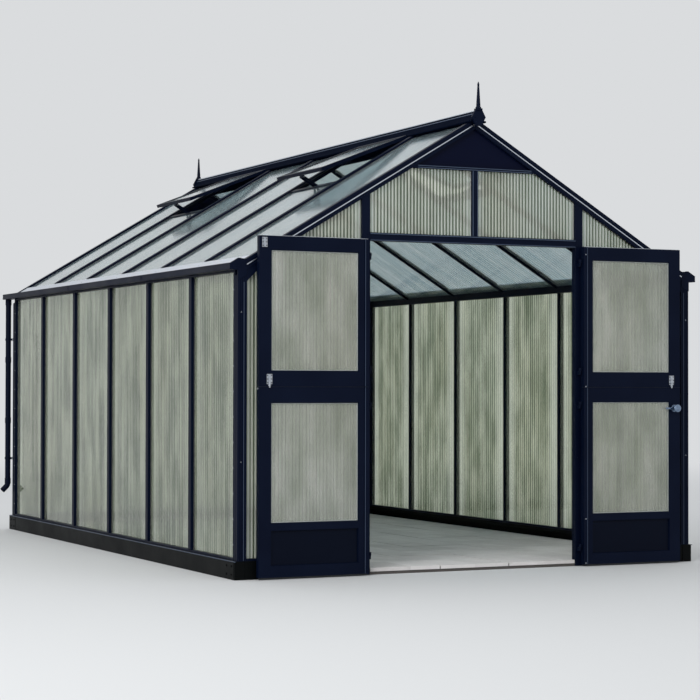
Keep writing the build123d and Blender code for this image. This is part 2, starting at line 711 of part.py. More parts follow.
def eave_trims():
    """Closing profiles over the lower ends of the roof sheets."""
    reach = RAFTER_IN_Y - FIT
    end = SHEET_END_S + FIT
    low = ROOF_CAP_T - FIT
    start = cap_end_s()
    face = sloped_block(1, -reach, reach, start, end + TRIM_T, TRIM_TOP, low)
    lip = sloped_block(1, -reach, reach, end, end + TRIM_T, TRIM_TOP, BAR_LOW_SLOT)
    return both_sides(face + lip)


def ridge_beam():
    """Beam under the ridge, slotted for the upper ends of the roof sheets."""
    half = RIDGE_BEAM_W / 2
    foot = RIDGE_LINE_Z - RIDGE_BEAM_D
    points = [(-half, foot), (half, foot), (half, roof_z(half)), (0, RIDGE_LINE_Z), (-half, roof_z(half))]
    reach = RAFTER_IN_Y - FIT
    beam = along_y(points, -reach, reach)
    for side in (-1, 1):
        beam = beam - sloped_block(side, -FAR, FAR, SHEET_TOP_S - FIT, FAR, BAR_TOP_SLOT, BAR_LOW_SLOT)
    return [beam]


def bead_place():
    """Middle of the hinge bead on the right edge of the ridge cap, as x and z."""
    s = RIDGE_WING_S + BEAD_R - BEAD_SEAT
    x = s * math.cos(PITCH) + BEAD_LIFT * math.sin(PITCH)
    z = RIDGE_LINE_Z - s * math.sin(PITCH) + BEAD_LIFT * math.cos(PITCH)
    return x, z


def ridge_cap():
    """Capping along the ridge with the beads that the vents hang from."""
    wing_x = RIDGE_WING_S * math.cos(PITCH)
    lift = FIT / math.cos(PITCH)
    half = [(RIDGE_CREST_W / 2, RIDGE_CREST_Z), (RIDGE_CREST_W, RIDGE_CREST_Z - RIDGE_SHOULDER),
            (wing_x, roof_z(wing_x) + RIDGE_WING_T), (wing_x, roof_z(wing_x) + lift)]
    left = [(-x, z) for x, z in reversed(half)]
    end = HALF_L + RIDGE_OVERHANG
    cap = along_y(half + [(0, RIDGE_LINE_Z + lift)] + left, -end, end)
    x, z = bead_place()
    for side in (-1, 1):
        cap = cap + Pos(side * x, 0, z) * Rot(90, 0, 0) * Cylinder(BEAD_R, 2 * end)
    return [cap]


def finial_spike(y, z0):
    """Eight-sided spike in tapering lengths, standing at y on the level z0."""
    spike = None
    for r0, r1, h0, h1 in FINIAL_TAPERS:
        lower = Pos(0, y, z0 + FINIAL_H * h0) * RegularPolygon(FINIAL_R * r0, FINIAL_SIDES)
        upper = Pos(0, y, z0 + FINIAL_H * h1) * RegularPolygon(FINIAL_R * r1, FINIAL_SIDES)
        length = loft([lower, upper])
        spike = length if spike is None else spike + length
    return spike


def ridge_finials():
    """Six-sided plates on the ridge ends, each with a tapering spike that stands on its head."""
    w = RIDGE_PLATE_W / 2
    flat = RIDGE_PLATE_FLAT / 2
    z1 = RIDGE_CREST_Z + RIDGE_PLATE_RISE
    z0 = z1 - RIDGE_PLATE_H
    middle = (z0 + z1) / 2
    points = [(-flat, z0), (flat, z0), (w, middle), (flat, z1), (-flat, z1), (-w, middle)]
    face = HALF_L + RIDGE_OVERHANG
    plate = along_y(points, face, face + RIDGE_PLATE_T)
    spike_y = face + RIDGE_PLATE_T / 2
    reach = FINIAL_R + FINIAL_EDGE
    foot = block(-flat, flat, spike_y - reach, spike_y + reach, RIDGE_CREST_Z, z1)
    return front_and_back(plate + foot + finial_spike(spike_y, z1))


# Vents


def vent_frame_place(side):
    """Frame on the hinge bead: local X along the ridge, local Y out of the sash, local Z down the sash."""
    x, z = bead_place()
    angle = PITCH - math.radians(VENT_OPEN)
    down = (side * math.cos(angle), 0, -math.sin(angle))
    return Plane(origin=(side * x, 0, z), x_dir=(0, side, 0), z_dir=down)


def vent_middle(i):
    """Middle of bay i along the ridge."""
    return -HALF_L + (i + 0.5) * BAY


def vent_width():
    """Width of a sash between the bar caps."""
    return BAY - CAP_W - 2 * VENT_SIDE_GAP


def vent_cross_bars():
    """Bars across the roof under the vents, slotted for the short sheets below them."""
    bars = []
    for side in (-1, 1):
        for i in VENT_BAYS:
            y = vent_middle(i)
            low = BAY / 2 - LEG_W / 2 - FIT
            high = BAY / 2 - CAP_W / 2 - FIT
            s0 = VENT_CROSS_S
            s1 = VENT_CROSS_S + VENT_CROSS_W
            under = ROOF_CAP_T + SHEET_T + 2 * FIT
            top = VENT_UPSTAND_DEPTH
            sill = sloped_block(side, y - low, y + low, s0, s1, under, under + VENT_CROSS_T)
            stand = sloped_block(side, y - high, y + high, s0, s0 + VENT_UPSTAND_T, top, under)
            lip = sloped_block(side, y - high, y + high, s0, s1, top, ROOF_CAP_T)
            bars.append(sill + stand + lip)
    return bars


def vent_frames():
    """Open vent sashes, slotted for their panes."""
    w = vent_width()
    start = BEAD_R + FIT
    frames = []
    for side in (-1, 1):
        for i in VENT_BAYS:
            place = vent_frame_place(side)
            across = side * vent_middle(i)
            mid = start + VENT_LENGTH / 2
            grip = 2 * (VENT_RAIL - SHEET_GRIP)
            rails = 2 * VENT_RAIL
            sash = Box(w, VENT_T, VENT_LENGTH) - Box(w - rails, 2 * VENT_T, VENT_LENGTH - rails)
            sash -= Box(w - grip, SLOT, VENT_LENGTH - grip)
            frames.append(place * (Pos(across, VENT_T / 2 - VENT_DROP, mid) * sash))
    return frames


def vent_panes():
    """Sheets in the vent sashes."""
    w = vent_width()
    panes = []
    grip = 2 * (VENT_RAIL - SHEET_GRIP + FIT)
    for side in (-1, 1):
        for i in VENT_BAYS:
            place = vent_frame_place(side)
            mid = BEAD_R + FIT + VENT_LENGTH / 2
            pane = Box(w - grip, SHEET_T, VENT_LENGTH - grip)
            panes.append(place * (Pos(side * vent_middle(i), VENT_T / 2 - VENT_DROP, mid) * pane))
    return panes


def stay_ends():
    """Pivots of a right-hand stay, on its foot and on its lug, as (x, z) points."""
    s = VENT_CROSS_S + VENT_UPSTAND_T / 2
    lift = STAY_FOOT_PIVOT - VENT_UPSTAND_DEPTH
    foot = (s * math.cos(PITCH) + lift * math.sin(PITCH),
            RIDGE_LINE_Z - s * math.sin(PITCH) + lift * math.cos(PITCH))
    angle = PITCH - math.radians(VENT_OPEN)
    bead_x, bead_z = bead_place()
    reach = lug_reach()
    drop = VENT_DROP + STAY_LUG_PIVOT
    lug = (bead_x + reach * math.cos(angle) - drop * math.sin(angle),
           bead_z - reach * math.sin(angle) - drop * math.cos(angle))
    return foot, lug


def lug_reach():
    """Distance from the hinge bead down the sash to the middle of the stay's lug."""
    return BEAD_R + FIT + VENT_LENGTH - VENT_RAIL / 2


def vent_openers():
    """Stays that hold the vents open: two arms between a foot on the cross bar and a lug on the sash."""
    (foot_x, foot_z), (lug_x, lug_z) = stay_ends()
    length = math.hypot(lug_x - foot_x, lug_z - foot_z)
    tilt = math.degrees(math.atan2(lug_z - foot_z, lug_x - foot_x))
    s = VENT_CROSS_S + VENT_UPSTAND_T / 2
    half = STAY_FOOT_T / 2
    top = VENT_UPSTAND_DEPTH
    arm_outline = chamfer(Rectangle(length + ARM_W, ARM_W).vertices(), ARM_W / 3)
    arm_solid = Rot(90, 0, 0) * extrude(arm_outline, amount=ARM_T / 2, both=True)
    stays = []
    for i in VENT_BAYS:
        y = vent_middle(i)
        y0 = y - ARM_SPREAD / 2
        y1 = y + ARM_SPREAD / 2
        stay = sloped_block(1, y0, y1, s - half, s + half, top - STAY_FOOT_H, top)
        lug = Pos(y, -VENT_DROP - STAY_LUG_H / 2, lug_reach()) * Box(ARM_SPREAD, STAY_LUG_H, STAY_FOOT_T)
        stay += vent_frame_place(1) * lug
        for end in (-1, 1):
            arm_y = y + end * (ARM_SPREAD + ARM_T) / 2
            stay += Pos((foot_x + lug_x) / 2, arm_y, (foot_z + lug_z) / 2) * Rot(0, -tilt, 0) * arm_solid
        stays += both_sides(stay)
    return stays


# Doors: each leaf is drawn shut with the hinge axis at the origin, X across the leaf and +Y indoors


def place_leaf(piece, side):
    """Turn a leaf's piece open and set it on its hinge axis."""
    opened = Pos(-HINGE_X, -HALF_L - HINGE_OUT, 0) * Rot(0, 0, DOOR_REST_GAP - 180) * piece
    return opened if side < 0 else mirror(opened, about=Plane.YZ)


def leaf_ring(z0, z1, bottom_rail, top_rail):
    """Frame of one half leaf, slotted for its pane, with a raised strip along its hinge side."""
    x0 = HINGE_SIDE_GAP
    glass_x0 = x0 + HINGE_STILE
    glass_x1 = DOOR_W - FREE_STILE
    t = DOOR_T / 2
    g = SHEET_GRIP
    ring = block(x0, DOOR_W, -t, t, z0, z1)
    ring = chamfer(ring.edges().filter_by(Axis.Z), CAP_EDGE)
    strip_x0 = x0 + HINGE_RAIL_GAP
    ring += block(strip_x0, strip_x0 + HINGE_RAIL_W, 0, t + HINGE_RAIL_T, z0, z1)
    ring -= block(glass_x0, glass_x1, -DOOR_T, DOOR_T, z0 + bottom_rail, z1 - top_rail)
    ring -= block(glass_x0 - g, glass_x1 + g, -SLOT / 2, SLOT / 2, z0 + bottom_rail - g, z1 - top_rail + g)
    return ring


def pane_between(z0, z1):
    """Pane of a half leaf whose opening runs from z0 to z1."""
    g = SHEET_GRIP - FIT
    x0 = HINGE_SIDE_GAP + HINGE_STILE - g
    x1 = DOOR_W - FREE_STILE + g
    return block(x0, x1, -SHEET_T / 2, SHEET_T / 2, z0 - g, z1 + g)


def kick_opening():
    """Lower and upper edge of the opening for the kick panel."""
    low = DOOR_BOTTOM_Z + BOTTOM_RAIL
    return low, low + KICK_H


def lower_pane_foot():
    """Lower edge of the lower pane's opening."""
    return DOOR_BOTTOM_Z + BOTTOM_RAIL + KICK_H + KICK_RAIL


def upper_frame(side):
    """Frame of the upper half leaf."""
    return [place_leaf(leaf_ring(DOOR_SPLIT_Z + DOOR_SPLIT_GAP, DOOR_TOP_Z, MID_RAIL, TOP_RAIL), side)]


def lower_frame(side):
    """Frame of the lower half leaf, with an opening for the kick panel."""
    foot = lower_pane_foot() - DOOR_BOTTOM_Z
    frame = leaf_ring(DOOR_BOTTOM_Z, DOOR_SPLIT_Z, foot, MID_RAIL)
    z0, z1 = kick_opening()
    x0 = HINGE_SIDE_GAP + HINGE_STILE
    x1 = DOOR_W - FREE_STILE
    g = SHEET_GRIP
    frame = frame - block(x0, x1, -DOOR_T, DOOR_T, z0, z1)
    half = KICK_T / 2 + FIT
    frame = frame - block(x0 - g, x1 + g, -half, half, z0 - g, z1 + g)
    return [place_leaf(frame, side)]


def panes(side):
    """Both panes of a leaf."""
    upper = pane_between(DOOR_SPLIT_Z + DOOR_SPLIT_GAP + MID_RAIL, DOOR_TOP_Z - TOP_RAIL)
    lower = pane_between(lower_pane_foot(), DOOR_SPLIT_Z - MID_RAIL)
    return [place_leaf(upper, side), place_leaf(lower, side)]


def kick_panel(side):
    """Solid panel at the foot of a leaf."""
    z0, z1 = kick_opening()
    g = SHEET_GRIP - FIT
    x0 = HINGE_SIDE_GAP + HINGE_STILE - g
    x1 = DOOR_W - FREE_STILE + g
    return [place_leaf(block(x0, x1, -KICK_T / 2, KICK_T / 2, z0 - g, z1 + g), side)]


def hinge_knuckles(side):
    """Moving halves of a leaf's lift-off hinges, each turning on a fixed pin."""
    pieces = []
    edge = HINGE_SIDE_GAP - FIT
    for z in HINGE_ZS:
        z0 = z + FIT
        z1 = z + KNUCKLE_H
        knuckle = Pos(0, 0, (z0 + z1) / 2) * Cylinder(KNUCKLE_R, z1 - z0)
        knuckle += block(0, edge, -HINGE_FLAP_T / 2, HINGE_FLAP_T / 2, z0, z1)
        knuckle -= Pos(0, 0, z) * Cylinder(HINGE_PIN_R + FIT, 3 * KNUCKLE_H)
        pieces.append(place_leaf(knuckle, side))
    return pieces


def hinge_brackets():
    """Fixed halves of the hinges on the door posts: a plate, an arm and the pin that stands on it."""
    outer = HINGE_X - POST_X - POST_W / 2 + HINGE_PLATE_EDGE
    inner = HINGE_X - POST_X + POST_W / 2 - HINGE_PLATE_EDGE
    half = HINGE_ARM_W / 2
    pieces = []
    for z in HINGE_ZS:
        z0 = z - KNUCKLE_H
        body = block(-half, half, -half, HINGE_OUT, z0, z)
        body += block(outer, inner, HINGE_OUT - HINGE_PLATE_T, HINGE_OUT, z0, z + KNUCKLE_H)
        body += Pos(0, 0, z + KNUCKLE_H / 2) * Cylinder(HINGE_PIN_R, KNUCKLE_H)
        pieces += both_sides(Pos(-HINGE_X, -HALF_L - HINGE_OUT, 0) * body)
    return pieces


def catch_plate():
    """Plate with a narrow tip that points down, drawn from its lower left corner."""
    w = CATCH_W
    tip = (w - CATCH_TIP_W) / 2
    points = [(0, CATCH_H), (w, CATCH_H), (w, CATCH_TIP_H), (w - tip, CATCH_TIP_H / 2), (w - tip, 0),
              (tip, 0), (tip, CATCH_TIP_H / 2), (0, CATCH_TIP_H)]
    return along_y(points, FIT, CATCH_T)


def barrel(z0, z1):
    """Round bolt that lies on a catch or bolt plate."""
    rod = Cylinder(BARREL_R, z1 - z0, align=(Align.CENTER, Align.CENTER, Align.MIN))
    rod = Pos(0, BARREL_OUT, z0) * rod
    return rod & block(-CATCH_W, CATCH_W, CATCH_T / 2, 2 * BARREL_OUT, z0, z1)


def catches(side):
    """Catch between the half leaves and, on the left leaf, a bolt at the top."""
    t = DOOR_T / 2
    catch = catch_plate() + Pos(CATCH_W / 2, 0, 0) * barrel(-CATCH_TIP_H, CATCH_H / 2)
    pieces = [place_leaf(Pos(DOOR_W - CATCH_IN, t, DOOR_SPLIT_Z + CATCH_UP) * catch, side)]
    if side < 0:
        bolt = block(0, BOLT_W, FIT, CATCH_T, 0, BOLT_H) + Pos(BOLT_W / 2, 0, 0) * barrel(0, BOLT_H)
        pieces.append(place_leaf(Pos(DOOR_W - BOLT_IN, t, DOOR_TOP_Z - BOLT_DOWN) * bolt, side))
    return pieces


def door_handle():
    """Knob and lever on the right leaf, with a flat pull outdoors."""
    t = DOOR_T / 2
    x = DOOR_W - HANDLE_IN
    z = DOOR_SPLIT_Z - HANDLE_DOWN
    outline = Polyline((0, 0), *KNOB_PROFILE, close=True)
    knob = revolve(Plane.XZ * make_face(outline), axis=Axis.Z)
    knob = Pos(x, t + FIT, z) * Rot(-90, 0, 0) * knob
    knob += block(x - LEVER_L, x, t + LEVER_OUT, t + LEVER_OUT + LEVER_T, z - LEVER_H / 2, z + LEVER_H / 2)
    rose = block(x - ROSE_W / 2, x + ROSE_W / 2, -t - FIT - ROSE_T, -t - FIT, z - ROSE_W, z + ROSE_W)
    pull = block(x - PULL_W / 2, x + PULL_W / 2, -t - PULL_OUT, -t - FIT, z - PULL_DOWN, z + PULL_UP)
    pull = chamfer(pull.edges().filter_by(Axis.Y), PULL_W / 4)
    return [place_leaf(knob, 1), place_leaf(pull + rose, 1)]


NODES = {
    "base_rails": base_rails(),
    "floor_slabs": floor_slabs(),
    "sill_rails": sill_rails(),
    "corner_posts": corner_posts(),
    "side_posts": side_posts(-1) + side_posts(1),
    "wall_sheets": wall_sheets(-1) + wall_sheets(1),
    "eave_rails": eave_rails(),
    "gutters": gutter(-1) + gutter(1),
    "downpipes": downpipes(),
    "downpipe_clips": downpipe_clips(),
    "gable_rafters": gable_rafters(),
    "corner_gussets": corner_gussets(),
    "door_posts": door_posts(),
    "door_header": door_header(),
    "front_mullion": front_mullion(),
    "gable_strip_rails": gable_strip_rails(),
    "gable_infill_panels": gable_infill_panels(),
    "front_gable_sheets": front_gable_sheets(),
    "back_posts": back_posts(),
    "back_transoms": back_transoms(),
    "back_gable_sheets": back_gable_sheets(),
    "roof_bars": roof_bars(-1) + roof_bars(1),
    "roof_sheets": roof_sheets(-1) + roof_sheets(1),
    "eave_trims": eave_trims(),
    "ridge_beam": ridge_beam(),
    "ridge_cap": ridge_cap(),
    "ridge_finials": ridge_finials(),
    "vent_cross_bars": vent_cross_bars(),
    "vent_frames": vent_frames(),
    "vent_panes": vent_panes(),
    "vent_openers": vent_openers(),
    "door_hinge_brackets": hinge_brackets(),
    "door_left_upper_frame": upper_frame(-1),
    "door_left_lower_frame": lower_frame(-1),
    "door_left_panes": panes(-1),
    "door_left_kick_panel": kick_panel(-1),
    "door_left_hinges": hinge_knuckles(-1),
    "door_left_catches": catches(-1),
    "door_right_upper_frame": upper_frame(1),
    "door_right_lower_frame": lower_frame(1),
    "door_right_panes": panes(1),
    "door_right_kick_panel": kick_panel(1),
    "door_right_hinges": hinge_knuckles(1),
    "door_right_catches": catches(1),
    "door_right_handle": door_handle(),
}

os.makedirs("parts", exist_ok=True)
for name, pieces in NODES.items():
    solids = [solid for piece in pieces for solid in piece.solids()]
    node = solids[0] if len(solids) == 1 else Compound(children=solids)
    node.label = name
    export_step(node, f"parts/{name}.step")
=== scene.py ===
import logging
import math
import random
from collections.abc import Callable, Iterable, Sequence
from dataclasses import dataclass
from enum import Enum, IntEnum

import bmesh
import bpy
from mathutils import Matrix, Vector


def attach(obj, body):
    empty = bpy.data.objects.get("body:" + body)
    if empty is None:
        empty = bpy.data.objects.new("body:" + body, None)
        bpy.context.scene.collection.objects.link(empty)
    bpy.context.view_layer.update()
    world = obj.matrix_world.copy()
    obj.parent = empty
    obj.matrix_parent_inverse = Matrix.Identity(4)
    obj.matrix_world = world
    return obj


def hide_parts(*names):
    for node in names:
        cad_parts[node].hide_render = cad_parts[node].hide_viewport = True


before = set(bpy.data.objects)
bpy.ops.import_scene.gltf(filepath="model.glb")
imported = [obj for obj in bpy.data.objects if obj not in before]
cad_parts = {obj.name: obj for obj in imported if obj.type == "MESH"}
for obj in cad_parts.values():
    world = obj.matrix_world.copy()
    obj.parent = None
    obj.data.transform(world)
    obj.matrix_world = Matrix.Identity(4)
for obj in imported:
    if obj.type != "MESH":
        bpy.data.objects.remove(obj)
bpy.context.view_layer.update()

LOG = logging.getLogger("greenhouse")

Pair = tuple[float, float]
Triple = tuple[float, float, float]
Mesh = bmesh.types.BMesh
Tree = bpy.types.NodeTree
Node = bpy.types.Node
Socket = bpy.types.NodeSocket

MM = 0.001  # metres in a millimetre
SIGNS = (-1, 1)  # two opposite sides
IDENTITY = Matrix.Identity(4)
MIRROR = Matrix.Diagonal((-1, 1, 1, 1))  # about the plane through the ridge
MIRRORS = (MIRROR, IDENTITY)  # the left side and the right one, on which parts are drawn
UPRIGHT = Matrix.Rotation(math.radians(90), 4, "X")  # stands a flat outline up
SEAT = 1.0  # millimetres that the foot of a trim stands in the part that carries it


# Sizes


@dataclass(frozen=True)
class Plan:
    """Main sizes of the greenhouse in millimetres, the same as in the frame."""

    half_w: float = 1480.0
    half_l: float = 2195.0
    bays: int = 6
    vent_bays: tuple[int, int] = (1, 4)
    pitch_deg: float = 30.8
    eave_z: float = 1687.0
    roof_rise: float = 41.7  # from the eave up to the planes of the roof caps
    sheet_cut: float = 5.0  # how far the roof sheets end short of the eave
    fit: float = 0.3
    grip: float = 12.0  # depth of the slots that hold the sheets
    half_web: float = 6.0  # half the metal between the two slots of a bar
    sheet_t: float = 10.0
    rib: float = 21.0  # from rib to rib in a twin-wall sheet
    wall_cap_t: float = 20.0
    roof_cap_t: float = 14.0
    base_h: float = 102.0
    sill_top: float = 115.0
    sheet_foot: float = 106.3
    corner_x: float = 55.0
    corner_y: float = 65.0
    post_x: float = 700.0
    post_w: float = 50.0
    head_z: float = 1881.0
    header_h: float = 47.0
    strip_drop: float = 305.0
    rafter_d: float = 54.0
    rafter_w: float = 40.0
    gutter_z: float = 1697.0
    wing: float = 54.0  # how far the ridge cap reaches down each slope
    crest_h: float = 42.0

    @property
    def bay(self) -> float:
        """Width of one bay."""
        return 2 * self.half_l / self.bays

    @property
    def pitch(self) -> float:
        """Slope of the roof in radians."""
        return math.radians(self.pitch_deg)

    @property
    def ridge_z(self) -> float:
        """Height of the line where the planes of the roof caps meet."""
        return self.eave_z + self.roof_rise + self.half_w * math.tan(self.pitch)

    @property
    def strip_z(self) -> float:
        """Lower edge of the strip rails."""
        return self.ridge_z - self.strip_drop

    @property
    def slope_l(self) -> float:
        """Length of a slope from the ridge line to the eave."""
        return self.half_w / math.cos(self.pitch)

    @property
    def sheet_end(self) -> float:
        """Slope length from the ridge line to the lower ends of the roof sheets."""
        return self.slope_l - self.sheet_cut

    @property
    def hold(self) -> float:
        """How deep a sheet stands in its slot."""
        return self.grip - self.fit

    @property
    def beside(self) -> float:
        """Distance from the middle of a bar to the edge of its sheet."""
        return self.half_web + self.fit

    @property
    def under_gutter(self) -> float:
        """Height at which walls and posts end below the gutters."""
        return self.gutter_z - self.fit

    def roof_z(self, x: float, depth: float = 0.0) -> float:
        """Height of the plane that lies a depth below the roof caps.

        Args:
            x: Distance from the ridge.
            depth: Depth below the caps, square to the slope.

        Returns:
            The height above the ground.
        """
        return self.ridge_z - abs(x) * math.tan(self.pitch) - depth / math.cos(self.pitch)

    def slope(self, side: int, y: float = 0.0) -> Matrix:
        """Place on the ridge line with X along the wall, Y out of the roof and Z down the slope."""
        c, s = math.cos(self.pitch), math.sin(self.pitch)
        return axes((0, side, 0), (side * s, 0, c), (side * c, 0, -s), (0, y, self.ridge_z))

    def bar_ys(self) -> list[float]:
        """Places of the glazing bars along the walls."""
        return [-self.half_l + i * self.bay for i in range(1, self.bays)]

    def sheet_spans(self, end: float) -> list[Pair]:
        """Edges of the sheets between the glazing bars.

        Args:
            end: Distance from the middle to the outer edges of the first and the last sheet.

        Returns:
            The two edges of each sheet along the wall, from the front to the back.
        """
        edges = [-end, *[y + sign * self.beside for y in self.bar_ys() for sign in SIGNS], end]
        return list(zip(edges[::2], edges[1::2]))


PLAN = Plan()


class Side(IntEnum):
    """Sides of the greenhouse, seen from the door."""

    LEFT = -1
    RIGHT = 1


class Axis(IntEnum):
    """Directions across which a sheet's ribs follow each other."""

    X = 0
    Y = 1


class Slot(Enum):
    """Material slots of the record."""

    FRAME = "frame"
    BASE = "base"
    WALL_SHEET = "wall_sheet"
    ROOF_SHEET = "roof_sheet"
    MILL = "mill"
    ZINC = "zinc"
    KNOB = "knob"
    SLAB = "slab"


def axes(x: Triple, y: Triple, z: Triple, origin: Triple = (0, 0, 0)) -> Matrix:
    """Place with the given axes.

    Args:
        x: Direction of the local X axis.
        y: Direction of the local Y axis.
        z: Direction of the local Z axis.
        origin: Where the local origin lies.

    Returns:
        The matrix of the place.
    """
    rows = [(x[i], y[i], z[i], origin[i]) for i in range(3)]
    return Matrix((*rows, (0, 0, 0, 1)))


def facing(point: Triple, out: Triple) -> Matrix:
    """Place at a point whose local Z looks along out."""
    turn = Vector(out).to_track_quat("Z", "Y").to_matrix().to_4x4()
    return Matrix.Translation(point) @ turn


def four_corners() -> list[Matrix]:
    """The back right corner's place and its mirror images."""
    return [Matrix.Diagonal((sx, sy, 1, 1)) for sx in (1, -1) for sy in (1, -1)]


# Finishes

COLOUR_A, COLOUR_B, COLOUR_OUT = 6, 7, 2  # sockets of a Mix node for colours; 0 is its share
NOISE_SPAN = (0.3, 0.7)  # values between which nearly all of a noise lies


def linear(code: str) -> tuple[float, float, float, float]:
    """Turns an sRGB hex colour into linear light by the standard's curve, with full cover.

    Args:
        code: The colour, such as "#1a2b3c".

    Returns:
        Red, green, blue and alpha.
    """
    shares = [int(code[i:i + 2], 16) / 255 for i in (1, 3, 5)]
    light = [c / 12.92 if c <= 0.04045 else ((c + 0.055) / 1.055) ** 2.4 for c in shares]
    return (*light, 1.0)


def add_node(tree: Tree, kind: str, inputs: dict | None = None, **settings: object) -> Node:
    """Adds a node with its settings, values and links.

    Args:
        tree: The material's or world's node tree.
        kind: Blender's name of the node.
        inputs: For each socket, by name or number, a value or the output socket that feeds it.
        settings: The node's own settings.

    Returns:
        The new node.
    """
    node = tree.nodes.new(kind)
    for key, value in settings.items():
        setattr(node, key, value)
    for key, value in (inputs or {}).items():
        if isinstance(value, bpy.types.NodeSocket):
            tree.links.new(value, node.inputs[key])
        else:
            node.inputs[key].default_value = value
    return node


@dataclass(frozen=True)
class Finish:
    """A surface: what it is made of and how it takes the light."""

    name: str
    slot: Slot
    colour: str
    roughness: float
    ior: float = 1.5
    metallic: float = 0.0
    specular: float = 0.5

    def material(self) -> bpy.types.Material:
        """Builds the material at its first use and gives the same one after that.

        Returns:
            The material.
        """
        made = bpy.data.materials.get(self.name)
        if made is None:
            made = bpy.data.materials.new(self.name)
            made.use_nodes = True
            tree = made.node_tree
            shader = tree.nodes["Principled BSDF"]
            shader.inputs["Base Color"].default_value = linear(self.colour)
            shader.inputs["Roughness"].default_value = self.roughness
            shader.inputs["Metallic"].default_value = self.metallic
            shader.inputs["IOR"].default_value = self.ior
            shader.inputs["Specular IOR Level"].default_value = self.specular
            place = add_node(tree, "ShaderNodeTexCoord").outputs["Object"]
            self.grain(tree, shader, place)
        return made

    def grain(self, tree: Tree, shader: Node, place: Socket) -> None:
        """Adds the pattern of the surface to the shader.

        Args:
            tree: The material's node tree.
            shader: The material's shader.
            place: The surface's own coordinates in metres.
        """
        raise NotImplementedError


@dataclass(frozen=True)
class Clouded(Finish):
    """A surface on which a pattern blends in a second colour and makes the gloss uneven."""

    film: str = "#8d939c"  # the second colour
    film_span: Pair = NOISE_SPAN  # values of the pattern at which the film begins and is full
    film_share: float = 0.3
    gloss: Pair = (0.0, 0.0)  # what the pattern adds to the roughness at its low and high end

    def cloud(self, tree: Tree, shader: Node, pattern: Socket) -> None:
        """Lays the film and the uneven gloss on.

        Args:
            tree: The material's node tree.
            shader: The material's shader.
            pattern: The pattern that says where.
        """
        share = add_node(tree, "ShaderNodeMapRange", {
            "Value": pattern, "From Min": self.film_span[0], "From Max": self.film_span[1],
            "To Min": 0.0, "To Max": self.film_share})
        tone = add_node(tree, "ShaderNodeMix", {
            0: share.outputs["Result"], COLOUR_A: linear(self.colour),
            COLOUR_B: linear(self.film)}, data_type="RGBA")
        tree.links.new(tone.outputs[COLOUR_OUT], shader.inputs["Base Color"])
        if any(self.gloss):
            rough = add_node(tree, "ShaderNodeMapRange", {
                "Value": pattern, "From Min": NOISE_SPAN[0], "From Max": NOISE_SPAN[1],
                "To Min": self.roughness + self.gloss[0],
                "To Max": self.roughness + self.gloss[1]})
            tree.links.new(rough.outputs["Result"], shader.inputs["Roughness"])


@dataclass(frozen=True)
class PowderCoat(Clouded):
    """Polyester powder baked on metal: a deep matt skin with an orange peel and a film of dust.

    The grain of the matt skin traps part of the mirror-like light, so its specular share is low.
    """

    specular: float = 0.07
    film: str = "#1b2740"
    film_span: Pair = (0.35, 0.75)
    film_share: float = 0.12
    gloss: Pair = (-0.05, 0.08)
    cloud_mm: float = 260.0
    peel_mm: float = 5.0  # the real peel is about 1.5 mm, which is too fine to show
    peel_strength: float = 0.12
    peel_h: float = 0.3

    def grain(self, tree: Tree, shader: Node, place: Socket) -> None:
        """Adds dust clouds, uneven gloss and the orange peel.

        Args:
            tree: The material's node tree.
            shader: The material's shader.
            place: The surface's own coordinates in metres.
        """
        dust = add_node(tree, "ShaderNodeTexNoise", {
            "Vector": place, "Scale": 1 / (self.cloud_mm * MM), "Detail": 4.0})
        self.cloud(tree, shader, dust.outputs["Fac"])
        peel = add_node(tree, "ShaderNodeTexNoise", {
            "Vector": place, "Scale": 1 / (self.peel_mm * MM), "Detail": 1.0})
        bump = add_node(tree, "ShaderNodeBump", {
            "Height": peel.outputs["Fac"], "Strength": self.peel_strength,
            "Distance": self.peel_h * MM})
        tree.links.new(bump.outputs["Normal"], shader.inputs["Normal"])


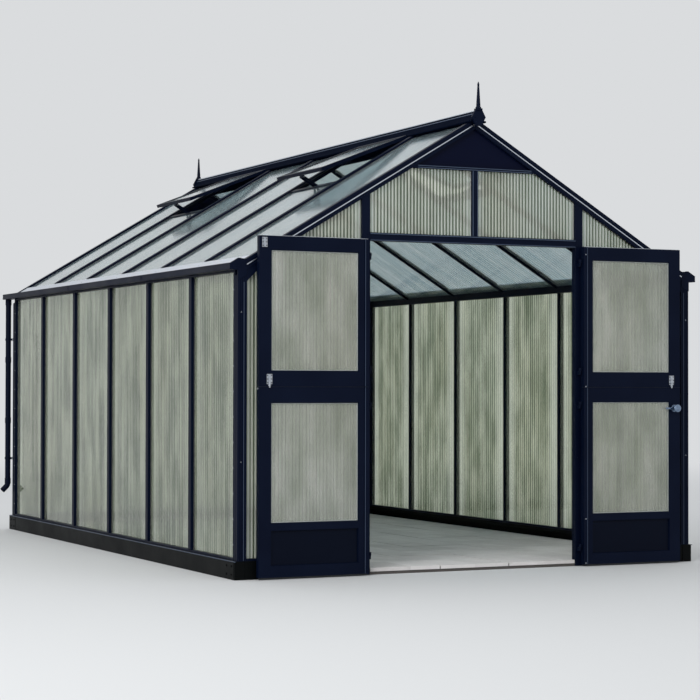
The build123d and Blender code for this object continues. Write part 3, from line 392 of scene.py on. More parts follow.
@dataclass(frozen=True)
class TwinWall(Finish):
    """Extruded twin-wall polycarbonate: cloudy skins with ribs that show as fine streaks."""

    ior: float = 1.585
    dark: str = "#63745a"
    light: str = "#f2f8e3"
    warm: str = "#d6cfae"
    across: Axis = Axis.Y
    rib_mm: float = 28.0  # coarser than the real 21 mm, which wouldn't show on a wall at a slant
    streak_mm: float = 42.0
    streak_long_mm: float = 1400.0
    cloud_mm: float = 130.0
    cloud_long_mm: float = 300.0
    age_mm: float = 600.0
    age_long_mm: float = 1500.0
    age_span: Pair = (0.4, 0.7)
    clear: float = 0.84  # share of the light that passes
    rib_share: float = 0.95
    streak_share: float = 0.7
    cloud_share: float = 0.7
    warm_share: float = 0.35

    def drawn_out(self, tree: Tree, place: Socket, wide_mm: float, long_mm: float,
                  detail: float = 3.0) -> Socket:
        """Adds a noise that is drawn out along the ribs.

        Args:
            tree: The material's node tree.
            place: The surface's own coordinates in metres.
            wide_mm: Size of its grains across the ribs.
            long_mm: Size of its grains along the ribs.
            detail: How many finer layers it has.

        Returns:
            The noise, from 0 to 1 and mostly near 0.5.
        """
        shares = [1 / (long_mm * MM)] * 3
        shares[self.across] = 1 / (wide_mm * MM)
        stretched = add_node(tree, "ShaderNodeVectorMath", {0: place, 1: shares},
                             operation="MULTIPLY")
        return add_node(tree, "ShaderNodeTexNoise", {
            "Vector": stretched.outputs[0], "Scale": 1.0, "Detail": detail}).outputs["Fac"]

    def grain(self, tree: Tree, shader: Node, place: Socket) -> None:
        """Adds ribs, streaks and clouds that run along them, and calmer cells at the edges.

        Args:
            tree: The material's node tree.
            shader: The material's shader.
            place: The surface's own coordinates in metres.
        """
        shader.inputs["Transmission Weight"].default_value = self.clear
        across = add_node(tree, "ShaderNodeSeparateXYZ", {0: place}).outputs[self.across]
        turns = add_node(tree, "ShaderNodeMath", {
            0: across, 1: math.tau / (self.rib_mm * MM)}, operation="MULTIPLY")
        wave = add_node(tree, "ShaderNodeMath", {0: turns.outputs[0]}, operation="COSINE")
        total = add_node(tree, "ShaderNodeMapRange", {
            "Value": wave.outputs[0], "From Min": -1.0, "From Max": 1.0,
            "To Min": 0.5 - self.rib_share / 2, "To Max": 0.5 + self.rib_share / 2,
        }).outputs["Result"]
        streaks = self.drawn_out(tree, place, self.streak_mm, self.streak_long_mm)
        clouds = self.drawn_out(tree, place, self.cloud_mm, self.cloud_long_mm, 5.0)
        for source, share in ((streaks, self.streak_share), (clouds, self.cloud_share)):
            shifted = add_node(tree, "ShaderNodeMath", {0: source, 1: 0.5}, operation="SUBTRACT")
            total = add_node(tree, "ShaderNodeMath", {
                0: shifted.outputs[0], 1: 2 * share, 2: total},
                operation="MULTIPLY_ADD").outputs[0]
        tone, calm = [add_node(tree, "ShaderNodeMix", {
            0: total, COLOUR_A: linear(low), COLOUR_B: linear(self.light)},
            data_type="RGBA", clamp_factor=True) for low in (self.dark, self.colour)]
        age = add_node(tree, "ShaderNodeMapRange", {
            "Value": self.drawn_out(tree, place, self.age_mm, self.age_long_mm),
            "From Min": self.age_span[0], "From Max": self.age_span[1],
            "To Min": 0.0, "To Max": self.warm_share})
        aged = add_node(tree, "ShaderNodeMix", {
            0: age.outputs["Result"], COLOUR_A: tone.outputs[COLOUR_OUT],
            COLOUR_B: linear(self.warm)}, data_type="RGBA", blend_type="MULTIPLY")
        edge = add_node(tree, "ShaderNodeAttribute", attribute_name="edge")
        pale = add_node(tree, "ShaderNodeMix", {
            0: edge.outputs["Fac"], COLOUR_A: aged.outputs[COLOUR_OUT],
            COLOUR_B: calm.outputs[COLOUR_OUT]}, data_type="RGBA")
        tree.links.new(pale.outputs[COLOUR_OUT], shader.inputs["Base Color"])


@dataclass(frozen=True)
class DrawnMetal(Clouded):
    """Bare metal from a die or a rolling mill, with faint lines along its length."""

    metallic: float = 1.0
    film: str = "#8b9099"
    film_span: Pair = (0.25, 0.75)
    film_share: float = 0.35
    gloss: Pair = (-0.08, 0.12)
    line_mm: float = 3.0  # the real lines are finer than 0.5 mm, which is too fine to show
    line_long_mm: float = 600.0

    def grain(self, tree: Tree, shader: Node, place: Socket) -> None:
        """Adds the lines.

        Args:
            tree: The material's node tree.
            shader: The material's shader.
            place: The surface's own coordinates in metres.
        """
        wide, long = 1 / (self.line_mm * MM), 1 / (self.line_long_mm * MM)
        stretch = add_node(tree, "ShaderNodeVectorMath", {0: place, 1: (wide, long, wide)},
                           operation="MULTIPLY")
        lines = add_node(tree, "ShaderNodeTexNoise", {
            "Vector": stretch.outputs[0], "Scale": 1.0, "Detail": 3.0})
        self.cloud(tree, shader, lines.outputs["Fac"])


@dataclass(frozen=True)
class PlatedMetal(Clouded):
    """Zinc or chrome laid on steel: bright, with a cloudy film."""

    metallic: float = 1.0
    film_span: Pair = (0.3, 0.75)
    film_share: float = 0.6
    gloss: Pair = (0.0, 0.12)
    film_mm: float = 9.0

    def grain(self, tree: Tree, shader: Node, place: Socket) -> None:
        """Adds the cloudy film.

        Args:
            tree: The material's node tree.
            shader: The material's shader.
            place: The surface's own coordinates in metres.
        """
        film = add_node(tree, "ShaderNodeTexNoise", {
            "Vector": place, "Scale": 1 / (self.film_mm * MM), "Detail": 3.0})
        self.cloud(tree, shader, film.outputs["Fac"])


@dataclass(frozen=True)
class SoftSeal(Clouded):
    """Extruded rubber or silicone: dull, with a fine grain."""

    film: str = "#6b6f73"
    grain_mm: float = 4.0  # the real grain is under 1 mm, which is too fine to show
    grain_strength: float = 0.3
    grain_h: float = 0.3

    def grain(self, tree: Tree, shader: Node, place: Socket) -> None:
        """Adds the grain to tone and height.

        Args:
            tree: The material's node tree.
            shader: The material's shader.
            place: The surface's own coordinates in metres.
        """
        specks = add_node(tree, "ShaderNodeTexNoise", {
            "Vector": place, "Scale": 1 / (self.grain_mm * MM), "Detail": 2.0}).outputs["Fac"]
        self.cloud(tree, shader, specks)
        bump = add_node(tree, "ShaderNodeBump", {
            "Height": specks, "Strength": self.grain_strength, "Distance": self.grain_h * MM})
        tree.links.new(bump.outputs["Normal"], shader.inputs["Normal"])


@dataclass(frozen=True)
class CastStone(Clouded):
    """Cast concrete: pale, with fine aggregate, stains and an open surface."""

    film_span: Pair = (0.5, 1.4)
    film_share: float = 0.8
    sand_mm: float = 3.0
    sand_share: float = 0.5
    sand_strength: float = 0.5
    sand_h: float = 0.8
    stain_mm: float = 210.0
    slab_mm: Pair = (415.9, 615.6)
    change: float = 0.35  # how much the slabs differ

    def grain(self, tree: Tree, shader: Node, place: Socket) -> None:
        """Adds sand, stains and the difference from slab to slab.

        Args:
            tree: The material's node tree.
            shader: The material's shader.
            place: The surface's own coordinates in metres.
        """
        sand = add_node(tree, "ShaderNodeTexNoise", {
            "Vector": place, "Scale": 1 / (self.sand_mm * MM), "Detail": 3.0}).outputs["Fac"]
        stains = add_node(tree, "ShaderNodeTexNoise", {
            "Vector": place, "Scale": 1 / (self.stain_mm * MM), "Detail": 6.0,
            "Roughness": 0.65}).outputs["Fac"]
        slab = add_node(tree, "ShaderNodeVectorMath", {
            0: place, 1: (self.slab_mm[0] * MM, self.slab_mm[1] * MM, 1.0)}, operation="SNAP")
        chance = add_node(tree, "ShaderNodeTexWhiteNoise", {"Vector": slab.outputs[0]},
                          noise_dimensions="3D").outputs["Value"]
        total = stains
        for source, share in ((chance, self.change), (sand, self.sand_share)):
            total = add_node(tree, "ShaderNodeMath", {0: source, 1: share, 2: total},
                             operation="MULTIPLY_ADD").outputs[0]
        self.cloud(tree, shader, total)
        bump = add_node(tree, "ShaderNodeBump", {
            "Height": sand, "Strength": self.sand_strength, "Distance": self.sand_h * MM})
        tree.links.new(bump.outputs["Normal"], shader.inputs["Normal"])


# Sprayed and baked on smooth profiles: a deep, almost black blue with soft, broad highlights.
NAVY = PowderCoat("aluminium_navy_powder_coat", Slot.FRAME, "#040c20", 0.42)
# The same coat on folded steel near the ground: black, duller and dusty.
BLACK = PowderCoat("steel_black_powder_coat", Slot.BASE, "#040607", 0.5, film="#171b1d")
# Coated smooth board: flatter and a shade bluer than the profiles, with large calm clouds.
PANEL = PowderCoat("composite_panel_navy_coat", Slot.FRAME, "#040921", 0.36, film="#0e1630",
                   cloud_mm=420.0)
# Coated thin sheet behind the rails: dull, so that it reads a shade darker than they do.
KICK = PowderCoat("aluminium_sheet_dark_navy_coat", Slot.FRAME, "#040a1a", 0.44, film="#0f1728",
                  cloud_mm=300.0)
# Years of sun and rain took the gloss off the ridge's coat: chalky, so the sky doesn't show in it.
WEATHERED = PowderCoat("aluminium_navy_coat_weathered", Slot.FRAME, "#050c1c", 0.75,
                       specular=0.01, film="#0e141d")
# Painted highlight: a pale coat on narrow beads stands in for the light their edges catch, as thin
# light lines.
PAINTED_HIGHLIGHT = PowderCoat("aluminium_navy_coat_painted_highlight", Slot.FRAME, "#3a475c", 0.34,
                    specular=0.3, film="#5f6c82")
# Extruded with ribs between two skins: greenish, cloudy and streaked, with light behind it.
WALL = TwinWall("polycarbonate_wall_sheet", Slot.WALL_SHEET, "#ccd3c3", 0.07)
# The same sheet seen square on: paler, with crisp ribs at their real distance.
GABLE = TwinWall("polycarbonate_gable_sheet", Slot.WALL_SHEET, "#ccd3c3", 0.07, across=Axis.X,
                 rib_mm=21.0, light="#fdfff6", streak_mm=15.0, clear=0.64, rib_share=1.35,
                 streak_share=0.4, cloud_share=0.3)
# A thinner sheet with close ribs: silky, with fine upright lines.
PANE = TwinWall("polycarbonate_door_pane", Slot.WALL_SHEET, "#eff2ea", 0.06, dark="#b9c2b0",
                light="#fdfef8", across=Axis.X, rib_mm=10.5, streak_mm=12.0, clear=0.72,
                rib_share=0.4, streak_share=0.35, cloud_share=0.75, warm_share=0.2)
# A cool tinted sheet that mirrors the sky. Its ribs are drawn 36 mm apart, because it is seen
# at a slant, where the real 21 mm wouldn't show.
ROOF = TwinWall("polycarbonate_roof_sheet", Slot.ROOF_SHEET, "#e0f2f8", 0.1, dark="#a4c8d4",
                light="#f7ffff", warm="#e6eff4", rib_mm=36.0, clear=0.86, rib_share=0.75,
                streak_share=0.5, cloud_share=0.3)
# Bare extruded aluminium: pale grey and silky along its length.
MILL = DrawnMetal("aluminium_mill_finish", Slot.MILL, "#dbe1ea", 0.34)
# Dipped in a zinc bath: light grey with duller clouds.
ZINC = PlatedMetal("steel_zinc_plated", Slot.ZINC, "#c4c9d1", 0.42, film="#8b9098")
# Cast, polished and plated: a bluish mirror that darkens in its hollows.
CHROME = PlatedMetal("zinc_alloy_chrome_plated", Slot.KNOB, "#8799b1", 0.16, film="#55657d")
# Extruded black rubber: dull and almost without highlights.
RUBBER = SoftSeal("epdm_rubber_seal", Slot.FRAME, "#121417", 0.7)
# Extruded pale silicone: a soft grey line round the panes.
PALE_SEAL = SoftSeal("silicone_seal_pale", Slot.WALL_SHEET, "#aeb4b0", 0.5)
# Cast in moulds with fine sand: pale, dry and a little stained.
SLABS = CastStone("concrete_slab_pale", Slot.SLAB, "#eeebe9", 0.82, film="#b4afac")
# Trowelled into the joints: dark and rough, so that the joints read as lines.
MORTAR = CastStone("mortar_grey", Slot.SLAB, "#5c5855", 0.92, film="#3f3c3a", change=0.0)


# Mesh work

SHARP = 0.5  # radians; edges that turn more than this are rounded over


def band(part: Mesh, near: Sequence, far: Sequence) -> list[bmesh.types.BMFace]:
    """Adds the faces between two closed loops. A loop of one corner is a tip.

    Args:
        part: The mesh that takes the faces.
        near: Corners of the first loop.
        far: Corners of the second loop, in the same order.

    Returns:
        The new faces.
    """
    faces = []
    count = max(len(near), len(far))
    for k in range(count):
        j = (k + 1) % count
        corners = (near[k % len(near)], near[j % len(near)], far[j % len(far)], far[k % len(far)])
        faces.append(part.faces.new(list(dict.fromkeys(corners))))
    return faces


class Form:
    """A mesh under construction, in millimetres."""

    def __init__(self, place: Matrix = IDENTITY) -> None:
        """Starts an empty mesh.

        Args:
            place: Where its parts are drawn.
        """
        self.place = place
        self.mesh = bmesh.new()
        self.edge = self.mesh.verts.layers.float.new("edge")

    def take(self, part: Mesh, place: Matrix, bevel: float = 0.0) -> None:
        """Rounds a part's edges over, places it and adds it.

        Args:
            part: The part, which is used up.
            place: Where it goes.
            bevel: Width of the rounding, or 0 for none.
        """
        if bevel > 0:
            sharp = [e for e in part.edges if e.is_manifold and e.calc_face_angle() > SHARP]
            bmesh.ops.bevel(part, geom=sharp, offset=bevel, segments=2, profile=0.5,
                            affect="EDGES", clamp_overlap=True)
        bmesh.ops.transform(part, matrix=self.place @ place, verts=part.verts[:])
        bmesh.ops.recalc_face_normals(part, faces=part.faces[:])
        scratch = bpy.data.meshes.new("scratch")
        part.to_mesh(scratch)
        part.free()
        self.mesh.from_mesh(scratch)
        bpy.data.meshes.remove(scratch)

    def prism(self, outline: Sequence[Pair], low: float,
              high: float | Callable[[float, float], float], place: Matrix = IDENTITY,
              bevel: float = 1.0) -> None:
        """Adds an outline drawn in local X and Y and drawn out along local Z.

        Args:
            outline: The corners in order.
            low: Lower end.
            high: Upper end, or a function of X and Y that gives it.
            place: Where the part goes.
            bevel: Width of the rounding, or 0 for none.
        """
        part = bmesh.new()
        feet = [part.verts.new((x, y, low)) for x, y in outline]
        tops = [part.verts.new((x, y, high(x, y) if callable(high) else high)) for x, y in outline]
        part.faces.new(feet[::-1])
        part.faces.new(tops)
        band(part, feet, tops)
        self.take(part, place, bevel)

    def block(self, one: Triple, other: Triple, place: Matrix = IDENTITY,
              bevel: float = 1.0) -> None:
        """Adds a box between two opposite corners, with its edges rounded over."""
        (x0, x1), (y0, y1), (z0, z1) = (sorted(ends) for ends in zip(one, other))
        self.prism([(x0, y0), (x1, y0), (x1, y1), (x0, y1)], z0, z1, place, bevel)

    def turned(self, outline: Sequence[Pair], place: Matrix = IDENTITY, steps: int = 20) -> None:
        """Adds a turned part from an outline of radius and height, closed at both ends.

        Args:
            outline: Radius and height of each ring, from foot to top.
            place: Where the part goes; local Z is its axis.
            steps: Number of sides.
        """
        part = bmesh.new()
        turns = [math.tau * k / steps for k in range(steps)]
        rings = []
        for radius, height in outline:
            around = turns if radius else turns[:1]
            rings.append([part.verts.new((radius * math.cos(t), radius * math.sin(t), height))
                          for t in around])
        for lower, upper in zip(rings, rings[1:]):
            band(part, lower, upper)
        for ring in (rings[0], rings[-1]):
            if len(ring) > 1:
                part.faces.new(ring)
        self.take(part, place)

    def rod(self, start: Triple, end: Triple, radius: float, place: Matrix = IDENTITY) -> None:
        """Adds a round rod with softened ends between two points.

        Args:
            start: Middle of its first end.
            end: Middle of its last end.
            radius: Its radius.
            place: Where the part goes.
        """
        along = Vector(end) - Vector(start)
        length = along.length
        soft = min(radius / 4, length / 5)
        outline = [(radius - soft, 0), (radius, soft), (radius, length - soft),
                   (radius - soft, length)]
        self.turned(outline, place @ facing(start, along), steps=14)

    def pipe(self, line: Sequence[Vector], outer: float, inner: float, place: Matrix = IDENTITY,
             steps: int = 28) -> None:
        """Adds an open round pipe.

        Args:
            line: Points of its centre line, all in one upright plane.
            outer: Outer radius.
            inner: Inner radius.
            place: Where the part goes.
            steps: Number of sides.
        """
        part = bmesh.new()
        rings: dict[float, list] = {outer: [], inner: []}
        turns = [math.tau * k / steps for k in range(steps)]
        side = Vector((0, 1, 0))
        for i, point in enumerate(line):
            before = (point - line[i - 1] if i else line[1] - point).normalized()
            after = (line[i + 1] - point).normalized() if i < len(line) - 1 else before
            along = (before + after).normalized()
            wide = 1 / max(0.5, along.dot(before))  # keeps the bore full in the bend's mitres
            up = along.cross(side).normalized()
            for radius, made in rings.items():
                made.append([part.verts.new(
                    point + side * radius * math.cos(t) + up * radius * wide * math.sin(t))
                    for t in turns])
        for made in rings.values():
            for lower, upper in zip(made, made[1:]):
                band(part, lower, upper)
        for end in (0, -1):
            band(part, rings[outer][end], rings[inner][end])
        self.take(part, place)

    def ring(self, x: Pair, z: Pair, section: Sequence[Pair], place: Matrix = IDENTITY) -> None:
        """Adds a mitred frame round the inside of an opening.

        Args:
            x: Left and right edge of the opening.
            z: Lower and upper edge of the opening.
            section: Corners of the frame's section, as distance in from the edge and local Y.
            place: Where the part goes.
        """
        part = bmesh.new()
        corners = []
        for right, top in ((False, False), (True, False), (True, True), (False, True)):
            corners.append([part.verts.new((
                x[1] - inward if right else x[0] + inward, y,
                z[1] - inward if top else z[0] + inward)) for inward, y in section])
        for here, there in zip(corners, corners[1:] + corners[:1]):
            band(part, here, there)
        self.take(part, place)

    def twin_wall(self, place: Matrix, span: Pair, ends: Callable[[float], Pair], depth: Pair,
                  rib: float = PLAN.rib, shift: float = 0.0, breaks: Iterable[float] = (),
                  bulge: float = 0.15, rim: float = 60.0) -> None:
        """Adds a twin-wall sheet whose skins stand out a little between the ribs.

        Args:
            place: Where the sheet goes. Local X runs across the ribs, Y through the sheet and
                Z along the ribs.
            span: First and last edge across the ribs.
            ends: Lower and upper end for each place across the ribs.
            depth: Both faces, as local Y.
            rib: Distance from rib to rib.
            shift: Local X of any rib.
            breaks: Places where the slope of an end changes.
            bulge: How far the skins stand out.
            rim: Width of the paler cells along both edges.
        """
        here = self.place @ place
        first, last = span
        near = 2.0  # a rib nearer than this to an edge is left out
        ribs = [shift + k * rib for k in range(math.ceil((first - shift) / rib),
                                               math.floor((last - shift) / rib) + 1)]
        lines = sorted({first, last, *breaks, *[u for u in ribs if first + near < u < last - near]})
        stations = [(first, 0.0)]
        for u, v in zip(lines, lines[1:]):
            stations += [((u + v) / 2, bulge), (v, 0.0)]
        loops = []
        for u, out in stations:
            low, high = ends(u)
            inside = min(u - first, last - u)
            share = max(0.0, 1 - max(0.0, inside - rim / 2) / (rim / 2))
            front, back = depth[0] - out, depth[1] + out
            loop = [self.mesh.verts.new(here @ Vector((u, y, z)))
                    for y, z in ((front, low), (back, low), (back, high), (front, high))]
            for corner in loop:
                corner[self.edge] = share
            loops.append(loop)
        faces = [self.mesh.faces.new(loops[0][::-1]), self.mesh.faces.new(loops[-1])]
        for near_loop, far_loop in zip(loops, loops[1:]):
            faces += band(self.mesh, near_loop, far_loop)
        bmesh.ops.recalc_face_normals(self.mesh, faces=faces)

    def build(self, name: str, finish: Finish, body: str = "frame", replaces: Sequence[str] = (),
              smooth_deg: float = 38.0) -> None:
        """Turns the form into a dressed piece that rides on a body.

        Args:
            name: Name of the piece.
            finish: Its finish.
            body: Body that it rides on.
            replaces: CAD nodes that it stands for.
            smooth_deg: Edges flatter than this are shaded smooth.
        """
        self.mesh.transform(Matrix.Diagonal((MM, MM, MM, 1)))
        mesh = bpy.data.meshes.new(name)
        self.mesh.to_mesh(mesh)
        self.mesh.free()
        mesh.shade_smooth()
        mesh.set_sharp_from_angle(angle=math.radians(smooth_deg))
        mesh.materials.append(finish.material())
        piece = bpy.data.objects.new(name, mesh)
        bpy.context.scene.collection.objects.link(piece)
        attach(piece, body)
        if replaces:
            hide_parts(*replaces)
        LOG.info("%s: %d faces, %s", name, len(mesh.polygons), finish.name)


def dress(nodes: Iterable[str], finish: Finish, bevel: float = 1.2) -> None:
    """Gives CAD nodes their finish and rounds their edges over.

    Args:
        nodes: Names of the nodes.
        finish: Their finish.
        bevel: Width of the rounding in millimetres.
    """
    for name in nodes:
        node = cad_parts[name]
        for place in node.material_slots:
            place.material = finish.material()
        weld = node.modifiers.new("weld", "WELD")
        weld.merge_threshold = 0.01 * MM
        rounding = node.modifiers.new("rounding", "BEVEL")
        rounding.width = bevel * MM
        rounding.segments = 2
        rounding.limit_method = "ANGLE"
        rounding.angle_limit = math.radians(40)
        LOG.info("%s: kept, %s", name, finish.name)


# Outline of a screw's head, as shares of its radius and height.
HEAD = ((1, 0), (1, 0.35), (0.86, 0.8), (0.6, 1), (0.42, 1), (0.34, 0.45), (0, 0.4))


@dataclass(frozen=True)
class PanHead:
    """Head of a screw, bolt or rivet with a socket in its top."""

    radius: float
    height: float

    def drive(self, form: Form, place: Matrix) -> None:
        """Adds the head with its underside at the place and its top along local Z."""
        form.turned([(self.radius * r, self.height * h) for r, h in HEAD], place, steps=12)


BASE_BOLT = PanHead(6.0, 3.6)
POST_RIVET = PanHead(3.2, 1.6)
POST_BOLT = PanHead(4.5, 2.6)
FRAME_SCREW = PanHead(4.0, 2.4)
CLIP_BOLT = PanHead(4.5, 3.0)
STRIP_SCREW = PanHead(3.8, 2.2)
CATCH_SCREW = PanHead(3.4, 1.4)


# Sub-assemblies


@dataclass
class BaseAndFloor:
    """Folded base, sills and the slab floor."""

    proud: float = 16.0  # how far the base stands out from the walls
    bead: Triple = (3.0, 0.8, 4.0)  # depth in the base, how far it stands out, height
    bead_top: float = 0.5
    bead_start: float = 5.0
    plate_t: float = 1.6
    plate_y: Pair = (12.0, 140.0)  # distances from the corner
    plate_z: Pair = (8.0, 96.0)
    bolt_y: Pair = (40.0, 110.0)
    bolt_z: Pair = (28.0, 74.0)
    slab_t: float = 38.0
    slab_foot: float = 12.0
    slab_low: float = 1.4  # how much lower than the highest one a slab may lie
    slab_round: float = 2.6
    joint_w: float = 8.0
    joint_d: float = 8.0
    columns: int = 7
    rows: int = 7
    floor_x: float = 1455.7
    floor_y: Pair = (-2138.7, 2170.7)
    kerbs: int = 3
    kerb_foot: float = 17.0
    kerb_x: float = 674.7
    kerb_y: float = -2193.0
    kerb_bed: float = 6.0  # how far the mortar stays behind the kerb's face
    seed: int = 41

    def slab(self, form: Form, low: Pair, high: Pair, chance: random.Random,
             foot: float) -> None:
        """Adds one slab, set a little high or low.

        Args:
            form: Where the slab goes.
            low: Front left corner.
            high: Back right corner.
            chance: Source of the small differences.
            foot: Height of its underside.
        """
        gap = self.joint_w / 2
        top = self.slab_t - chance.uniform(0.0, self.slab_low)
        form.block((low[0] + gap, low[1] + gap, foot), (high[0] - gap, high[1] - gap, top),
                   bevel=self.slab_round)

    def lay_floor(self) -> None:
        """Lays the slabs and the row in the doorway on a bed of mortar."""
        chance = random.Random(self.seed)
        slabs, bed = Form(), Form()
        front, back = self.floor_y
        dx, dy = 2 * self.floor_x / self.columns, (back - front) / self.rows
        for i in range(self.columns):
            for j in range(self.rows):
                x, y = -self.floor_x + i * dx, front + j * dy
                self.slab(slabs, (x, y), (x + dx, y + dy), chance, self.slab_foot)
        step = 2 * self.kerb_x / self.kerbs
        for i in range(self.kerbs):
            x = -self.kerb_x + i * step
            self.slab(slabs, (x, self.kerb_y - self.joint_w / 2), (x + step, front), chance,
                      self.kerb_foot)
        slabs.build("floor_paving_slabs", SLABS, replaces=["floor_slabs"])
        top = self.slab_t - self.joint_d
        bed.block((-self.floor_x, front, 0.0), (self.floor_x, back, top))
        # The kerbs stand on this dark bed, which shows below their fronts as a dark band: painted
        # shade, with stain, on their lower face.
        bed.block((-self.kerb_x, self.kerb_y + self.kerb_bed, 0.0), (self.kerb_x, front, top))
        bed.build("floor_mortar_bed", MORTAR)

    def edge_base(self) -> None:
        """Adds the beads along the upper edge of the base, pale with painted highlight."""
        beads = Form()
        deep, out, height = self.bead
        x, y = PLAN.half_w + self.proud, PLAN.half_l + self.proud
        top = PLAN.base_h + self.bead_top
        for side in Side:
            beads.block((side * (x - deep), -y + self.bead_start, top - height),
                        (side * (x + out), y, top), bevel=0.8)
        beads.block((-x, y - deep, top - height), (x, y + out, top), bevel=0.8)
        beads.build("base_edge_beads", PAINTED_HIGHLIGHT)

    def bolt_base(self) -> None:
        """Adds the corner plates of the base with their bolts."""
        plates, bolts = Form(), Form()
        face = PLAN.half_w + self.proud
        for corner in four_corners():
            for y in self.bolt_y:
                for z in self.bolt_z:
                    spot = (face + self.plate_t, PLAN.half_l - y, z)
                    BASE_BOLT.drive(bolts, corner @ facing(spot, (1, 0, 0)))
            plates.block((face - SEAT, PLAN.half_l - self.plate_y[1], self.plate_z[0]),
                         (face + self.plate_t, PLAN.half_l - self.plate_y[0], self.plate_z[1]),
                         corner)
        plates.build("base_corner_plates", BLACK)
        bolts.build("base_corner_bolts", BLACK)

    def build(self) -> None:
        """Builds and dresses the whole sub-assembly."""
        dress(["base_rails"], BLACK)
        dress(["sill_rails"], NAVY, bevel=0.8)
        self.lay_floor()
        self.edge_base()
        self.bolt_base()


@dataclass
class SideWalls:
    """Corner posts, glazing bars and sheets of the side walls."""

    sheet_top: float = 1693.4
    rim: float = 150.0
    flute: Pair = (5.0, 2.4)  # width and depth
    chamfer: float = 14.0
    nose: float = 4.0  # cut off the corner post's outer edge
    side_flutes: tuple[float, ...] = (12.0,)
    front_side_flutes: tuple[float, ...] = (8.0, 22.0)
    front_flutes: tuple[float, ...] = (11.0, 24.0, 37.0)
    rivets: int = 11
    rivet_z: float = 190.0
    rivet_step: float = 140.0
    rivet_y: float = 5.0
    bolt_zs: Pair = (644.0, 1465.0)
    bolt_x: float = 21.5
    line: Triple = (35.5, 38.5, 0.9)  # the bead's edges from the corner, and its height
    line_z: Pair = (106.0, 1630.0)
    seal_at: float = 23.0
    seal_gap: float = 0.2
    seal_w: float = 3.0

    def fluted(self, start: Pair, end: Pair, out: Pair, places: Sequence[float]) -> list[Pair]:
        """Corners of a straight face with flutes cut in it.

        Args:
            start: First corner of the face.
            end: Last corner of the face.
            out: Direction out of the face.
            places: Distances of the flutes from the first corner.

        Returns:
            The corners from start to end.
        """
        width, depth = self.flute
        along = (Vector(end) - Vector(start)).normalized()
        points = [start]
        for place in places:
            for shift, share in ((-0.5, 0.0), (-0.35, 1.0), (0.35, 1.0), (0.5, 0.0)):
                spot = (Vector(start) + along * (place + shift * width)
                        - Vector(out) * depth * share)
                points.append((spot.x, spot.y))
        return [*points, end]

    def corner_posts(self) -> None:
        """Builds the fluted corner posts with their rivets, bolts and beads pale with painted
        highlight.
        """
        posts, rivets, lines = Form(), Form(), Form()
        x0, x1 = PLAN.half_w - PLAN.corner_x, PLAN.half_w
        y0, y1 = PLAN.half_l - PLAN.corner_y, PLAN.half_l
        foot, top = PLAN.base_h, PLAN.under_gutter
        seam = y1 - PLAN.rafter_w - PLAN.fit
        inner = [(x0 + self.chamfer, y0),
                 *self.fluted((x1, y0), (x1, seam), (1, 0), self.side_flutes),
                 (x0, seam), (x0, y0 + self.chamfer)]
        outer = [*self.fluted((x1, seam), (x1, y1 - self.nose), (1, 0), self.front_side_flutes),
                 *self.fluted((x1 - self.nose, y1), (x0, y1), (0, 1), self.front_flutes),
                 (x0, seam)]
        for corner in four_corners():
            posts.prism(inner, foot, top, corner, bevel=0.7)
            posts.prism(outer, foot, lambda x, y: min(top, PLAN.roof_z(x, PLAN.rafter_d)),
                        corner, bevel=0.7)
            for k in range(self.rivets):
                spot = (x1, y0 + self.rivet_y, self.rivet_z + self.rivet_step * k)
                POST_RIVET.drive(rivets, corner @ facing(spot, (1, 0, 0)))
            near, far, out = self.line
            lines.block((x1 - far, y1 - SEAT, self.line_z[0]),
                        (x1 - near, y1 + out, self.line_z[1]), corner, bevel=0.6)
            for z in self.bolt_zs:
                spot = (x1 - self.bolt_x, y1 - self.flute[1], z)
                POST_BOLT.drive(rivets, corner @ facing(spot, (0, 1, 0)))
        posts.build("corner_posts_fluted", NAVY, replaces=["corner_posts"], smooth_deg=30.0)
        rivets.build("corner_post_rivets", ZINC)
        # The beads are painted highlight: a pale coat for the light that the posts' front edges
        # catch.
        lines.build("corner_post_beads", PAINTED_HIGHLIGHT)

    def sheets(self) -> None:
        """Builds the twin-wall sheets of both sides."""
        form = Form()
        face = PLAN.half_w - PLAN.wall_cap_t
        end = PLAN.half_l - PLAN.corner_y + PLAN.hold
        for side in Side:
            for span in PLAN.sheet_spans(end):
                form.twin_wall(axes((0, 1, 0), (side, 0, 0), (0, 0, 1)), span,
                               lambda u: (PLAN.sheet_foot, self.sheet_top),
                               (face - PLAN.sheet_t, face), rim=self.rim)
        form.build("wall_sheets_twin_wall", WALL, replaces=["wall_sheets"])

    def seals(self) -> None:
        """Adds the rubber lips between the bars and the sheets."""
        form = Form()
        face = PLAN.half_w - PLAN.wall_cap_t + self.seal_gap
        for mirror in MIRRORS:
            for y in PLAN.bar_ys():
                for sign in SIGNS:
                    edge = y + sign * self.seal_at
                    form.block((face, edge, PLAN.sill_top),
                               (face + self.seal_w, edge + sign * self.seal_w, PLAN.eave_z),
                               mirror, bevel=0.6)
        form.build("wall_seals", RUBBER)

    def build(self) -> None:
        """Builds and dresses the whole sub-assembly."""
        dress(["side_posts", "eave_rails"], NAVY)
        self.corner_posts()
        self.sheets()
        self.seals()


